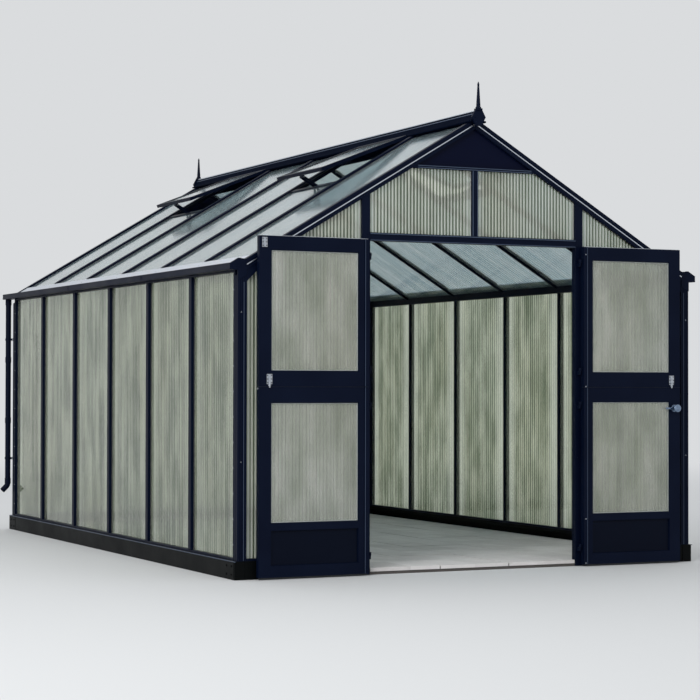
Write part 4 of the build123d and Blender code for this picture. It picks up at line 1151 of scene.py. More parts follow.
@dataclass
class Gables:
    """Rafters, rails, posts, infill and sheets of both gables."""

    mullion_w: float = 38.0
    strip_slot: float = 7.0
    cut: Pair = (1.0, 26.0)  # how far the rafters' strips end short of the ridge and the eave
    cover: Triple = (1.0, 17.0, 3.0)  # upper and lower edge below the caps, how far it stands out
    bead: Triple = (44.0, 50.0, 2.0)
    strip: Triple = (26.0, 31.0, 3.0)
    drip: Triple = (9.0, 4.0, 4.0)  # lower and upper edge below the header's top, and depth
    sight: Triple = (2.0, 6.0, 3.0)  # lower and upper edge above the door's head, and depth
    rail_beads: Pair = (2.0, 13.0)
    rail_bead_h: float = 4.0
    rail_bead_out: float = 3.0
    rail_end: float = 20.0
    mullion_bead: Triple = (4.0, 2.0, 2.0)  # width, distance from the edge, and height
    header_screw_in: float = 14.0
    post_screw_in: float = 12.0
    header_screws: tuple[float, ...] = (1892.0, 1916.0)
    post_screws: tuple[float, ...] = (420.0, 640.0, 1340.0, 1560.0)

    def covers(self) -> None:
        """Adds cover strip, bright glazing strip and lower bead along each rafter's face."""
        form, bright = Form(), Form()
        lean = math.tan(PLAN.pitch)
        for sign in SIGNS:
            for side in Side:
                for made, (top, foot, out) in ((form, self.cover), (form, self.bead),
                                               (bright, self.strip)):
                    along = sign * side
                    made.block((along * (PLAN.half_l - SEAT), -foot, top * lean + self.cut[0]),
                               (along * (PLAN.half_l + out), -top,
                                PLAN.slope_l - foot * lean - self.cut[1]), PLAN.slope(side))
        form.build("rafter_cover_strips", NAVY)
        bright.build("rafter_glazing_strips", MILL)

    def sheets(self) -> None:
        """Builds the twin-wall sheets of both gables."""
        front, back = Form(), Form()
        face = PLAN.half_l - PLAN.wall_cap_t
        depths = (face - PLAN.sheet_t, face)
        under = PLAN.rafter_d - PLAN.hold
        strip = PLAN.strip_z + self.strip_slot - PLAN.fit
        knee = PLAN.half_w - PLAN.corner_x
        crest = (PLAN.ridge_z - under / math.cos(PLAN.pitch) - strip) / math.tan(PLAN.pitch)
        over = PLAN.head_z + PLAN.header_h - PLAN.hold
        post, outer = PLAN.post_w / 2 - PLAN.hold, knee + PLAN.hold

        def beside_door(u: float) -> Pair:
            """Ends of a side sheet."""
            roof = PLAN.roof_z(u, under)
            return PLAN.sheet_foot, min(roof, PLAN.under_gutter) if abs(u) > knee else roof

        def above_door(u: float) -> Pair:
            """Ends of a sheet over the door."""
            return over, min(PLAN.roof_z(u, under), strip)

        def behind_door(u: float) -> Pair:
            """Ends of a sheet of the back gable that faces the door."""
            return PLAN.sheet_foot, PLAN.head_z + PLAN.hold

        bends = (knee, knee + 0.1)
        for sign in SIGNS:
            here = Matrix.Diagonal((sign, -1, 1, 1))
            front.twin_wall(here, (PLAN.post_x + post, outer), beside_door, depths, breaks=bends)
            front.twin_wall(here, (PLAN.beside, PLAN.post_x - post), above_door, depths,
                            breaks=(crest,))
            here = Matrix.Diagonal((sign, 1, 1, 1))
            middle = (PLAN.beside, PLAN.post_x - PLAN.beside)
            back.twin_wall(here, (PLAN.post_x + PLAN.beside, outer), beside_door, depths,
                           breaks=bends)
            back.twin_wall(here, middle, behind_door, depths)
            back.twin_wall(here, middle, above_door, depths, breaks=(crest,))
        front.build("front_gable_sheets_twin_wall", GABLE, replaces=["front_gable_sheets"])
        back.build("back_gable_sheets_twin_wall", GABLE, replaces=["back_gable_sheets"])

    def trims(self) -> None:
        """Adds beads on header, strip rails and mullion, pale with painted highlight, and the
        screws of the door frame.
        """
        beads, screws = Form(), Form()
        face, top = PLAN.half_l, PLAN.head_z + PLAN.header_h
        reach = PLAN.post_x - PLAN.post_w / 2 - SEAT
        low, high, out = self.drip
        beads.block((-reach, -face - out, top - low), (reach, -face + SEAT, top - high),
                    bevel=1.5)
        low, high, out = self.sight
        beads.block((-reach, -face - out, PLAN.head_z + low),
                    (reach, -face + SEAT, PLAN.head_z + high), bevel=1.2)
        reach = (PLAN.ridge_z - PLAN.rafter_d / math.cos(PLAN.pitch) - PLAN.strip_z
                 - self.rail_end) / math.tan(PLAN.pitch)
        for sign in SIGNS:
            for z in (PLAN.strip_z + lift for lift in self.rail_beads):
                beads.block((-reach, sign * (face - SEAT), z),
                            (reach, sign * (face + self.rail_bead_out),
                             z + self.rail_bead_h), bevel=1.2)
        for side in Side:
            for zs, inward in ((self.header_screws, self.header_screw_in),
                               (self.post_screws, self.post_screw_in)):
                for z in zs:
                    spot = (side * (PLAN.post_x - inward), -face, z)
                    FRAME_SCREW.drive(screws, facing(spot, (0, -1, 0)))
            width, inward, out = self.mullion_bead
            edge = self.mullion_w / 2 - inward
            beads.block((side * edge, -face - out, top + SEAT),
                        (side * (edge - width), -face + SEAT, PLAN.strip_z - SEAT))
        # These beads are painted highlight: a pale coat for the light their edges catch.
        beads.build("gable_rail_beads", PAINTED_HIGHLIGHT)
        screws.build("door_post_screws", NAVY)

    def build(self) -> None:
        """Builds and dresses the whole sub-assembly."""
        dress(["gable_rafters", "corner_gussets", "door_posts", "door_header", "front_mullion",
               "gable_strip_rails", "back_posts", "back_transoms"], NAVY)
        dress(["gable_infill_panels"], PANEL, bevel=0.6)
        dress(["door_hinge_brackets"], NAVY, bevel=0.6)
        self.covers()
        self.sheets()
        self.trims()


@dataclass
class RoofSlopes:
    """Glazing bars, sheets and closing profiles of the roof."""

    top_s: float = 38.0
    vent_s: float = 612.3  # where the sheet below a vent begins
    bar_start: float = 62.0
    trim_l: float = 108.0  # length of the closing profile's lap over the sheets' ends
    crown: Pair = (20.0, 2.6)  # width and height
    crown_edge: float = 0.6
    screw_s: float = 52.0
    screw_drop: float = 4.0
    seal_x: Pair = (22.5, 26.0)
    seal_h: float = 3.0
    seal_lift: float = 0.5
    bulge: float = 0.08

    def crowns(self) -> None:
        """Adds the rounded screw covers on the roof bars, with their screws at the eaves."""
        form, screws = Form(), Form()
        end = PLAN.sheet_end - self.trim_l
        half, top = self.crown[0] / 2, self.crown[1]
        outline = [(-half, -SEAT), (half, -SEAT), (half, self.crown_edge), (half * 0.6, top),
                   (-half * 0.6, top), (-half, self.crown_edge)]
        for side in Side:
            for y in PLAN.bar_ys():
                place = PLAN.slope(side, y)
                form.prism(outline, self.bar_start, end, place, bevel=0.4)
                spot = (0, -self.screw_drop, end + self.screw_s)
                FRAME_SCREW.drive(screws, place @ facing(spot, (0, 1, 0)))
        form.build("roof_bar_screw_covers", NAVY)
        screws.build("eave_trim_screws", ZINC)

    def sheets(self) -> None:
        """Builds the twin-wall sheets of both slopes, shorter below each vent."""
        form = Form()
        low = -(PLAN.roof_cap_t + PLAN.fit + PLAN.sheet_t)
        for side in Side:
            spans = PLAN.sheet_spans(PLAN.half_l - PLAN.rafter_w + PLAN.hold)
            for bay, (y0, y1) in enumerate(spans):
                start = self.vent_s if bay in PLAN.vent_bays else self.top_s
                form.twin_wall(PLAN.slope(side), sorted((side * y0, side * y1)),
                               lambda u, s=start: (s, PLAN.sheet_end),
                               (low, low + PLAN.sheet_t), bulge=self.bulge)
        form.build("roof_sheets_twin_wall", ROOF, replaces=["roof_sheets"])

    def seals(self) -> None:
        """Adds the rubber lips between the roof bars and the sheets."""
        form = Form()
        low = -(PLAN.roof_cap_t - self.seal_lift)
        near, far = self.seal_x
        for side in Side:
            for y in PLAN.bar_ys():
                for sign in SIGNS:
                    form.block((sign * near, low, self.bar_start),
                               (sign * far, low + self.seal_h,
                                PLAN.sheet_end - self.trim_l + SEAT), PLAN.slope(side, y),
                               bevel=0.8)
        form.build("roof_seals", RUBBER)

    def build(self) -> None:
        """Builds and dresses the whole sub-assembly."""
        dress(["roof_bars"], NAVY)
        dress(["eave_trims"], MILL, bevel=0.8)
        self.crowns()
        self.sheets()
        self.seals()


@dataclass
class Ridge:
    """Ridge beam, capping and the turned finials."""

    overhang: float = 26.0
    crest: Triple = (18.0, 4.6, 1.5)  # width, radius of the rolls and how deep they lie
    bead_r: float = 3.4
    shoulder: Pair = (18.0, 19.0)  # from the middle, and below the crest
    wing_t: float = 8.0
    plate_w: float = 90.0
    plate_h: float = 100.0
    plate_t: float = 16.0
    plate_rise: float = 10.0
    flat: float = 36.0
    screw_x: float = 24.0
    finial_r: float = 14.0
    finial_edge: float = 4.0
    finial_h: float = 157.0
    finial: tuple[Pair, ...] = (  # outline, as shares of radius and height
        (0, 0), (1.15, 0), (1.2, 0.015), (1.2, 0.04), (1.12, 0.06), (0.9, 0.075), (0.86, 0.1),
        (0.9, 0.12), (0.84, 0.2), (0.66, 0.46), (0.5, 0.7), (0.4, 0.84), (0.46, 0.87),
        (0.46, 0.895), (0.36, 0.92), (0.22, 0.965), (0, 1))

    def beads(self) -> None:
        """Adds the bright rolls on the crest and the beads along the capping, pale with painted
        highlight.
        """
        crests, lines = Form(), Form()
        end = PLAN.half_l + self.overhang - SEAT
        top = PLAN.ridge_z + PLAN.crest_h
        width, radius, deep = self.crest
        wing_x = PLAN.wing * math.cos(PLAN.pitch)
        for side in Side:
            x, z = side * (width / 2 - SEAT), top - deep
            crests.rod((x, -end, z), (x, end, z), radius)
            for x, z in ((self.shoulder[0], top - self.shoulder[1]),
                         (wing_x, PLAN.roof_z(wing_x) + self.wing_t)):
                lines.rod((side * x, -end, z), (side * x, end, z), self.bead_r)
        crests.build("ridge_crest_rolls", MILL)
        lines.build("ridge_cap_beads", PAINTED_HIGHLIGHT)

    def finials(self) -> None:
        """Builds the end plates with their feet and the turned spikes."""
        form, screws = Form(), Form()
        crest = PLAN.ridge_z + PLAN.crest_h
        top = crest + self.plate_rise
        foot = top - self.plate_h
        middle = (top + foot) / 2
        half, flat = self.plate_w / 2, self.flat / 2
        plate = [(-flat, foot), (flat, foot), (half, middle), (flat, top), (-flat, top),
                 (-half, middle)]
        spike = [(self.finial_r * r, self.finial_h * h) for r, h in self.finial]
        y = PLAN.half_l + self.overhang
        spike_y = y + self.plate_t / 2
        reach = self.finial_r + self.finial_edge
        for sign in SIGNS:
            form.prism(plate, y, y + self.plate_t, axes((1, 0, 0), (0, 0, 1), (0, sign, 0)),
                       bevel=2.0)
            form.block((-flat, sign * (spike_y - reach), crest),
                       (flat, sign * (spike_y + reach), top), bevel=2.0)
            form.turned(spike, Matrix.Translation((0, sign * spike_y, top)), steps=32)
            for side in Side:
                spot = (side * self.screw_x, sign * (y + self.plate_t), middle)
                FRAME_SCREW.drive(screws, facing(spot, (0, sign, 0)))
        form.build("ridge_finials_turned", NAVY, replaces=["ridge_finials"], smooth_deg=50.0)
        screws.build("ridge_plate_screws", NAVY)

    def build(self) -> None:
        """Builds and dresses the whole sub-assembly."""
        dress(["ridge_beam", "ridge_cap"], WEATHERED)
        self.beads()
        self.finials()


@dataclass
class RoofVents:
    """Open vents with their sashes, panes and stays."""

    bead_r: float = 6.0
    bead_lift: float = 6.5
    bead_seat: float = 5.0
    open_deg: float = 9.4
    length: float = 617.0
    rail: float = 34.0
    thick: float = 22.0
    drop: float = 14.0
    cap_w: float = 46.0
    side_gap: float = 6.0
    foot_s: float = 606.0  # where the stays stand on the cross bars, down the slope
    foot_y: Triple = (-26.0, -8.0, -12.0)  # the foot's lower and upper face, and its pin
    lug: Pair = (16.0, 12.0)  # the lug's height below the sash, and its pin
    stay_w: float = 44.0
    arm: Pair = (14.0, 4.0)  # width and thickness
    pin_r: float = 3.4
    pin_out: float = 6.0
    stub: float = 6.0  # half the length of foot and lug
    seal: Triple = (5.0, 4.0, 3.4)  # width at its foot and at its lip, and height

    @property
    def start(self) -> float:
        """Distance from the hinge bead's middle to the sash."""
        return self.bead_r + PLAN.fit

    def spots(self) -> list[tuple[Matrix, Matrix, float]]:
        """Places of the vents.

        Returns:
            For each vent its place on the slope, its place on the hinge bead with Y out of the
            sash and Z down it, and how far it lies along the ridge.
        """
        s = PLAN.wing + self.bead_r - self.bead_seat
        c, n = math.cos(PLAN.pitch), math.sin(PLAN.pitch)
        x, z = s * c + self.bead_lift * n, PLAN.ridge_z - s * n + self.bead_lift * c
        angle = PLAN.pitch - math.radians(self.open_deg)
        c, n = math.cos(angle), math.sin(angle)
        spots = []
        for side in Side:
            hinge = axes((0, side, 0), (side * n, 0, c), (side * c, 0, -n), (side * x, 0, z))
            for bay in PLAN.vent_bays:
                along = side * (-PLAN.half_l + (bay + 0.5) * PLAN.bay)
                shift = Matrix.Translation((along, 0, 0))
                spots.append((PLAN.slope(side) @ shift, hinge @ shift, along))
        return spots

    def sashes(self) -> None:
        """Builds sash rails, seals and panes."""
        rails, seals, panes = Form(), Form(), Form()
        w = (PLAN.bay - self.cap_w) / 2 - self.side_gap
        inner = w - self.rail
        start, end = self.start, self.start + self.length
        low, high = -self.drop, self.thick - self.drop
        level = (low + high) / 2
        half = PLAN.sheet_t / 2
        edge = self.rail - PLAN.hold
        wide, narrow, seal_h = self.seal
        opening = ((-inner, inner), (start + self.rail, end - self.rail))
        for _, here, along in self.spots():
            for sign in SIGNS:
                rails.block((sign * w, low, start), (sign * inner, high, end), here, bevel=1.6)
            for z in (start, end - self.rail):
                rails.block((-inner, low, z), (inner, high, z + self.rail), here, bevel=1.6)
            for face in (level + half, level - half - seal_h):
                lip = face + seal_h
                seals.ring(*opening, [(-SEAT, face), (wide, face), (narrow, lip), (-SEAT, lip)],
                           here)
            panes.twin_wall(here, (edge - w, w - edge), lambda u: (start + edge, end - edge),
                            (level - half, level + half), shift=-along % PLAN.rib)
        rails.build("vent_sash_rails", NAVY, replaces=["vent_frames"])
        seals.build("vent_pane_seals", RUBBER)
        panes.build("vent_panes_twin_wall", ROOF, replaces=["vent_panes"])

    def stays(self) -> None:
        """Builds the stays: arms, foot, lug and pins."""
        arms, pins = Form(), Form()
        s, half = self.foot_s, self.stay_w / 2
        reach = self.start + self.length - self.rail / 2
        wide, thick = self.arm[0] / 2, self.arm[1] / 2
        out = Vector((0, 1, 0))
        for slope, sash, _ in self.spots():
            low, high, pin = self.foot_y
            arms.block((-half, low, s - self.stub), (half, high, s + self.stub), slope,
                       bevel=1.5)
            arms.block((-half, -self.drop - self.lug[0], reach - self.stub),
                       (half, -self.drop, reach + self.stub), sash, bevel=1.5)
            foot = slope @ Vector((0, pin, s))
            lug = sash @ Vector((0, -self.drop - self.lug[1], reach))
            along = (lug - foot).normalized()
            for sign in SIGNS:
                shift = out * (sign * (half + thick))
                place = axes(tuple(along), (0, 1, 0), tuple(along.cross(out)),
                             tuple(foot + shift))
                arms.block((-wide, -thick, -wide), ((lug - foot).length + wide, thick, wide),
                           place, bevel=1.8)
            for spot in (foot, lug):
                ends = out * (half + self.pin_out)
                pins.rod(tuple(spot - ends), tuple(spot + ends), self.pin_r)
        arms.build("vent_stays", NAVY, replaces=["vent_openers"])
        pins.build("vent_stay_pins", ZINC)

    def build(self) -> None:
        """Builds and dresses the whole sub-assembly."""
        dress(["vent_cross_bars"], NAVY, bevel=0.8)
        self.sashes()
        self.stays()


@dataclass
class Gutters:
    """Gutters with their rolled lips, and the downpipes."""

    inner: float = 1459.0
    width: float = 68.0
    lip_z: float = 1733.0
    lip_r: float = 4.2
    lip_in: Pair = (3.0, 2.5)  # its middle, in from the gutter's edge and down from its top
    low_bead: Triple = (4.0, 8.0, 1.6)  # lower and upper edge, and how far it stands out
    overhang: float = 110.0
    end_gap: float = 0.5
    sleeve_y: float = 731.7
    sleeve: tuple[float, ...] = (44.0, 2.2, 1.0, 5.0)  # length, height, gaps below and above
    pipe_r: float = 20.0
    bore_r: float = 18.0
    behind: float = 75.0
    bend_z: float = 337.5
    bend_r: float = 38.0
    bend_deg: float = 45.0
    bend_steps: int = 8
    spout_l: float = 43.0
    joint_z: float = 352.0
    lengths: int = 3
    socket_h: float = 40.0
    socket: Pair = (2.4, -0.5)  # how much larger than the pipe it is outside and inside
    socket_drop: float = 2.0
    clip_zs: Pair = (520.0, 1400.0)
    clip_h: float = 16.0
    clip: Pair = (3.0, -0.2)
    clip_bolt: float = 14.0
    arm_t: float = 6.0
    arm_back: float = 23.0
    closer: tuple[Pair, ...] = (  # corners of the plate, seen from the door
        (1427.0, 1668.0), (1480.0, 1640.0), (1480.0, 1700.0), (1477.0, 1760.0),
        (1427.0, 1758.0))
    closer_y: Pair = (8.0, 2.0)  # how deep it goes in, and how far it stands out

    @property
    def pipe_x(self) -> float:
        """Middle of a downpipe and of its gutter."""
        return self.inner + self.width / 2

    @property
    def pipe_y(self) -> float:
        """Middle of a downpipe along the wall."""
        return PLAN.half_l + self.behind

    def closers(self) -> None:
        """Adds the plates that close the eaves' front corners, between rafter and gutter."""
        plates = Form()
        for mirror in MIRRORS:
            plates.prism(self.closer, PLAN.half_l - self.closer_y[0],
                         PLAN.half_l + self.closer_y[1], mirror @ UPRIGHT)
        plates.build("eave_corner_closers", NAVY)

    def lips(self) -> None:
        """Adds the rolled lip, the lower bead and the union sleeve of each gutter."""
        form = Form()
        outer, foot = self.inner + self.width, PLAN.gutter_z
        y0, y1 = -PLAN.half_l - self.end_gap, PLAN.half_l + self.overhang + self.end_gap
        x, z = outer - self.lip_in[0], self.lip_z - self.lip_in[1]
        low, high, out = self.low_bead
        length, proud, below, above = self.sleeve
        for mirror in MIRRORS:
            form.rod((x, y0, z), (x, y1, z), self.lip_r, mirror)
            form.block((outer - SEAT, y0, foot + low), (outer + out, y1, foot + high), mirror,
                       bevel=0.8)
            for y in (-self.sleeve_y, self.sleeve_y):
                form.block((outer - 2 * SEAT, y - length / 2, foot + below),
                           (outer + proud, y + length / 2, self.lip_z - above), mirror,
                           bevel=0.8)
        form.build("gutter_lips", NAVY)

    def line(self) -> list[Vector]:
        """Centre line of a downpipe, with its bend rounded.

        Returns:
            Its points from the gutter to the spout.
        """
        x, y, turn = self.pipe_x, self.pipe_y, math.radians(self.bend_deg)
        points = [Vector((x, y, PLAN.gutter_z)), Vector((x, y, self.bend_z))]
        for k in range(1, self.bend_steps + 1):
            angle = turn * k / self.bend_steps
            points.append(Vector((x + self.bend_r - self.bend_r * math.cos(angle), y,
                                  self.bend_z - self.bend_r * math.sin(angle))))
        spout = Vector((math.sin(turn), 0, -math.cos(turn))) * self.spout_l
        return [*points, points[-1] + spout]

    def collar(self, form: Form, z: float, height: float, radii: Pair, mirror: Matrix) -> None:
        """Adds a socket or a clip's band round the downpipe.

        Args:
            form: Where it goes.
            z: Its middle.
            height: Its height.
            radii: How much larger than the pipe it is outside and inside.
            mirror: The side.
        """
        ends = [Vector((self.pipe_x, self.pipe_y, z + share * height)) for share in (-0.5, 0.5)]
        form.pipe(ends, self.pipe_r + radii[0], self.pipe_r + radii[1], mirror)

    def pipes(self) -> None:
        """Builds the downpipes with sockets, spouts and clips."""
        pipes, clips, bolts = Form(), Form(), Form()
        x, y = self.pipe_x, self.pipe_y
        arm_x = PLAN.half_w - PLAN.corner_x / 2
        back, front, half = y - self.arm_back, y - self.arm_back + self.arm_t, self.clip_h / 2
        step = (PLAN.gutter_z - self.joint_z) / self.lengths
        sockets = [self.joint_z + i * step for i in range(self.lengths)]
        sockets.append(PLAN.gutter_z - self.socket_h / 2 - self.socket_drop)
        for mirror in MIRRORS:
            pipes.pipe(self.line(), self.pipe_r, self.bore_r, mirror)
            for z in sockets:
                self.collar(pipes, z, self.socket_h, self.socket, mirror)
            for z in self.clip_zs:
                self.collar(clips, z, self.clip_h, self.clip, mirror)
                clips.block((arm_x, PLAN.half_l, z - half),
                            (arm_x + self.arm_t, front, z + half), mirror)
                clips.block((arm_x, back, z - half), (x - self.pipe_r / 2, front, z + half),
                            mirror)
                spot = (arm_x + self.clip_bolt, back, z)
                CLIP_BOLT.drive(bolts, mirror @ facing(spot, (0, -1, 0)))
        pipes.build("downpipes_round", NAVY, replaces=["downpipes"])
        clips.build("downpipe_clip_bands", NAVY, replaces=["downpipe_clips"])
        bolts.build("downpipe_clip_bolts", ZINC)

    def build(self) -> None:
        """Builds and dresses the whole sub-assembly."""
        dress(["gutters"], NAVY, bevel=0.6)
        self.closers()
        self.lips()
        self.pipes()


@dataclass
class StableDoor:
    """One leaf of the double door, drawn shut with its hinge line at the origin."""

    side: Side
    hinge_x: float = 690.0
    hinge_out: float = 30.0
    rest_gap: float = 1.0
    width: float = 687.0
    thick: float = 30.0
    foot: float = 12.0
    top: float = 1885.0
    split: float = 1055.0
    split_gap: float = 2.0
    edge: float = 12.0
    hinge_stile: float = 66.0
    free_stile: float = 74.0
    top_rail: float = 77.0
    mid_rail: float = 86.0
    kick_rail: float = 40.0
    bottom_rail: float = 62.0
    kick_h: float = 194.0
    pane_rib: float = 10.5
    pane_rim: float = 24.0
    pane_bulge: float = 0.1
    panel_t: float = 8.0
    strip: Triple = (14.0, 26.0, 5.0)  # start, width and thickness
    strip_bead: Pair = (3.0, 0.7)
    strip_screws: tuple[float, ...] = (500.0, 760.0, 980.0, 1400.0, 1650.0)
    end_screws: tuple[float, ...] = (20.0, 280.0, 1060.0, 1840.0)
    bead: Triple = (3.5, 1.5, 12.0)  # width at the pane and outside, and where it ends outside
    bead_h: float = 2.0
    seal: tuple[float, ...] = (3.0, 6.5, 6.0, 2.6)  # near edge, far edge, its lip's, height
    cap_in: float = 6.0
    cap_h: float = 2.2
    brush_h: float = 9.0
    catch_in: float = 61.5
    catch_plate: Pair = (33.0, 55.0)
    catch_lift: float = 16.0
    catch_reach: float = 20.0
    bolt_in: float = 31.5
    bolt_plate: Pair = (31.0, 54.0)
    bolt_drop: float = 63.0
    bolt_r: float = 4.2
    bolt_lift: float = 5.5
    latch_t: float = 3.0
    guide: Triple = (16.0, 10.0, 10.2)  # width, length and height
    guides: Pair = (0.3, 0.72)  # shares of the plate's height
    latch_screws: Triple = (0.14, 0.5, 0.86)
    latch_screw_in: float = 4.5
    knob_in: float = 39.0
    knob_drop: float = 125.0
    hook_t: float = 3.4
    hook: tuple[Pair, ...] = ((-7.5, 5), (7.5, 5), (7.5, 14), (11, 20), (-11, 20), (-7.5, 14))
    bolt_end: tuple[Pair, ...] = ((6.0, 0), (6.0, 1.2), (4.6, 1.8), (4.6, 3.6), (3.8, 4.4),
                                  (0, 4.6))
    knob: tuple[Pair, ...] = (
        (22, 0), (22.5, 2), (21, 4), (14, 5), (9.5, 7), (8.5, 12), (9.5, 18), (15, 22), (21, 26),
        (24, 30), (24, 34), (21.5, 37.5), (15, 39.6), (7, 40.3), (0, 40.5))
    lever_end: tuple[Pair, ...] = ((6, 0), (6.5, 1), (6.5, 8), (5, 9.5), (0, 10))
    lever_spot: Triple = (-60.0, 4.0, 0.0)
    # Opposite corners, from the knob's middle on the inner or the outer face.
    lever: tuple[Triple, Triple] = ((-62.0, 7.0, -5.0), (-4.0, 13.0, 5.0))
    pull: tuple[Triple, Triple] = ((-9.0, -30.0, -30.0), (9.0, -0.3, 12.0))
    pull_plate: tuple[Triple, Triple] = ((-19.0, -5.3, -38.0), (19.0, -0.3, 38.0))

    @property
    def name(self) -> str:
        """Name of the leaf, which is also its body's."""
        return "door_left" if self.side is Side.LEFT else "door_right"

    @property
    def half(self) -> float:
        """Half the thickness of the leaf."""
        return self.thick / 2

    @property
    def glass(self) -> Pair:
        """Left and right edge of the openings in the leaf."""
        return self.edge + self.hinge_stile, self.width - self.free_stile

    def form(self) -> Form:
        """Starts a mesh in the place where the leaf stands at rest, wide open.

        Returns:
            The empty form.
        """
        turn = Matrix.Rotation(math.radians(self.rest_gap - 180), 4, "Z")
        left = Matrix.Translation((-self.hinge_x, -PLAN.half_l - self.hinge_out, 0)) @ turn
        return Form(left if self.side is Side.LEFT else MIRROR @ left)

    def finish(self, form: Form, name: str, finish: Finish, replaced: str = "",
               smooth_deg: float = 38.0) -> None:
        """Turns a form into a piece of this leaf.

        Args:
            form: The form.
            name: Name of the piece after the leaf's.
            finish: Its finish.
            replaced: CAD node that it stands for, after the leaf's name.
            smooth_deg: Edges flatter than this are shaded smooth.
        """
        nodes = [f"{self.name}_{replaced}"] if replaced else []
        form.build(f"{self.name}_{name}", finish, self.name, nodes, smooth_deg)

    def openings(self) -> list[Pair]:
        """Lower and upper edge of the openings: upper pane, lower pane and kick panel."""
        kick = self.foot + self.bottom_rail
        return [(self.split + self.split_gap + self.mid_rail, self.top - self.top_rail),
                (kick + self.kick_h + self.kick_rail, self.split - self.mid_rail),
                (kick, kick + self.kick_h)]

    def frames(self) -> None:
        """Builds stiles and rails of both half leaves, with the strip on the hinge side."""
        lines, t = self.form(), self.half
        upper, lower, kick = self.openings()
        x0, x1 = self.glass
        start, strip_w, strip_t = self.strip
        bead_w, bead_out = self.strip_bead
        bead = start + strip_w - bead_w
        over = self.split + self.split_gap
        for half, ends in (("upper", (over, *upper, self.top)),
                           ("lower", (self.foot, *kick, *lower, self.split))):
            form, z0, z1 = self.form(), ends[0], ends[-1]
            for a, b in ((self.edge, x0), (x1, self.width)):
                form.block((a, -t, z0), (b, t, z1), bevel=1.8)
            for low, high in zip(ends[::2], ends[1::2]):
                form.block((x0, -t, low), (x1, t, high), bevel=1.8)
            form.block((start, t - SEAT, z0), (start + strip_w, t + strip_t, z1), bevel=1.5)
            lines.block((bead, t + strip_t - SEAT, z0 + 2),
                        (bead + bead_w, t + strip_t + bead_out, z1 - 2), bevel=0.5)
            self.finish(form, f"{half}_stiles_and_rails", NAVY, f"{half}_frame")
        # The strip's beads are painted highlight: a pale coat for the light their edges catch.
        self.finish(lines, "strip_beads", PAINTED_HIGHLIGHT)

    def infill(self) -> None:
        """Builds panes, glazing beads and seals."""
        panes, beads, seals = self.form(), self.form(), self.form()
        x0, x1 = self.glass
        hold, pane = PLAN.hold, PLAN.sheet_t / 2
        wide, narrow, out = self.bead
        near, far, lip, seal_h = self.seal
        for i, (z0, z1) in enumerate(self.openings()):
            glazed = i < 2
            skin = pane if glazed else self.panel_t / 2
            for sign in SIGNS:
                beads.ring((x0, x1), (z0, z1), [
                    (-SEAT, sign * skin), (wide, sign * skin), (wide, sign * (skin + self.bead_h)),
                    (narrow, sign * out), (-SEAT, sign * out)])
                if glazed:
                    top = sign * (skin + seal_h)
                    seals.ring((x0, x1), (z0, z1), [
                        (near, sign * skin), (far, sign * skin), (lip, top), (near, top)])
            if glazed:
                panes.twin_wall(IDENTITY, (x0 - hold, x1 + hold),
                                lambda u, a=z0, b=z1: (a - hold, b + hold), (-pane, pane),
                                self.pane_rib, -self.hinge_x % self.pane_rib, rim=self.pane_rim,
                                bulge=self.pane_bulge)
        self.finish(panes, "panes_twin_wall", PANE, "panes")
        self.finish(beads, "glazing_beads", NAVY)
        self.finish(seals, "pane_seals", PALE_SEAL)

    def hardware(self) -> None:
        """Adds screws, the drip cap and the brushes at the foot and between the half leaves."""
        coated, screws, caps, brush = self.form(), self.form(), self.form(), self.form()
        t, right = self.half, self.side is Side.RIGHT
        start, strip_w, strip_t = self.strip
        for zs, bright in ((self.strip_screws, False), (self.end_screws, right)):
            for z in zs:
                STRIP_SCREW.drive(screws if bright else coated,
                                  facing((start + strip_w / 2, t + strip_t, z), (0, 1, 0)))
        if not right:
            # The end of the bolt that ties the half leaves together.
            screws.turned(self.bolt_end,
                          facing((self.width - 0.5, -2.0, self.split - 9.0), (1, 0, 0)),
                          steps=16)
        x0, x1 = self.edge + self.cap_in, self.width - self.cap_in
        caps.block((x0, -t + 4, self.top - SEAT), (x1, t - 4, self.top + self.cap_h),
                   bevel=0.8)
        brush.block((x0, -t + 8, self.foot - self.brush_h), (x1, t - 8, self.foot + SEAT),
                    bevel=0.8)
        brush.block((x0 - 3, -t + 6, self.split - SEAT),
                    (x1 + 3, t - 4, self.split + self.split_gap + SEAT), bevel=0.6)
        self.finish(screws, "screws", ZINC)
        self.finish(coated, "strip_screws", NAVY)
        self.finish(caps, "drip_cap", MILL)
        self.finish(brush, "brush", RUBBER)

    def latch(self, plates: Form, screws: Form, foot: Triple, size: Pair, reach: float) -> None:
        """Adds a plate with a sliding bolt in two guides and six screws.

        Args:
            plates: Where plate, guides and bolt go.
            screws: Where the screws go.
            foot: Middle of the plate's lower edge, on the leaf's face.
            size: Width and height of the plate.
            reach: How far the bolt comes out below the plate.
        """
        x, y, z = foot
        half, height, front = size[0] / 2, size[1], y + self.latch_t
        wide, long, high = self.guide
        line = y + self.bolt_lift
        plates.block((x - half, y + PLAN.fit, z), (x + half, front, z + height), bevel=0.8)
        plates.rod((x, line, z - reach), (x, line, z + height - long / 2), self.bolt_r)
        for share in self.guides:
            middle = z + share * height
            plates.block((x - wide / 2, front - SEAT, middle - long / 2),
                         (x + wide / 2, y + high, middle + long / 2), bevel=1.5)
        for sign in SIGNS:
            for share in self.latch_screws:
                spot = (x + sign * (half - self.latch_screw_in), front, z + share * height)
                CATCH_SCREW.drive(screws, facing(spot, (0, 1, 0)))

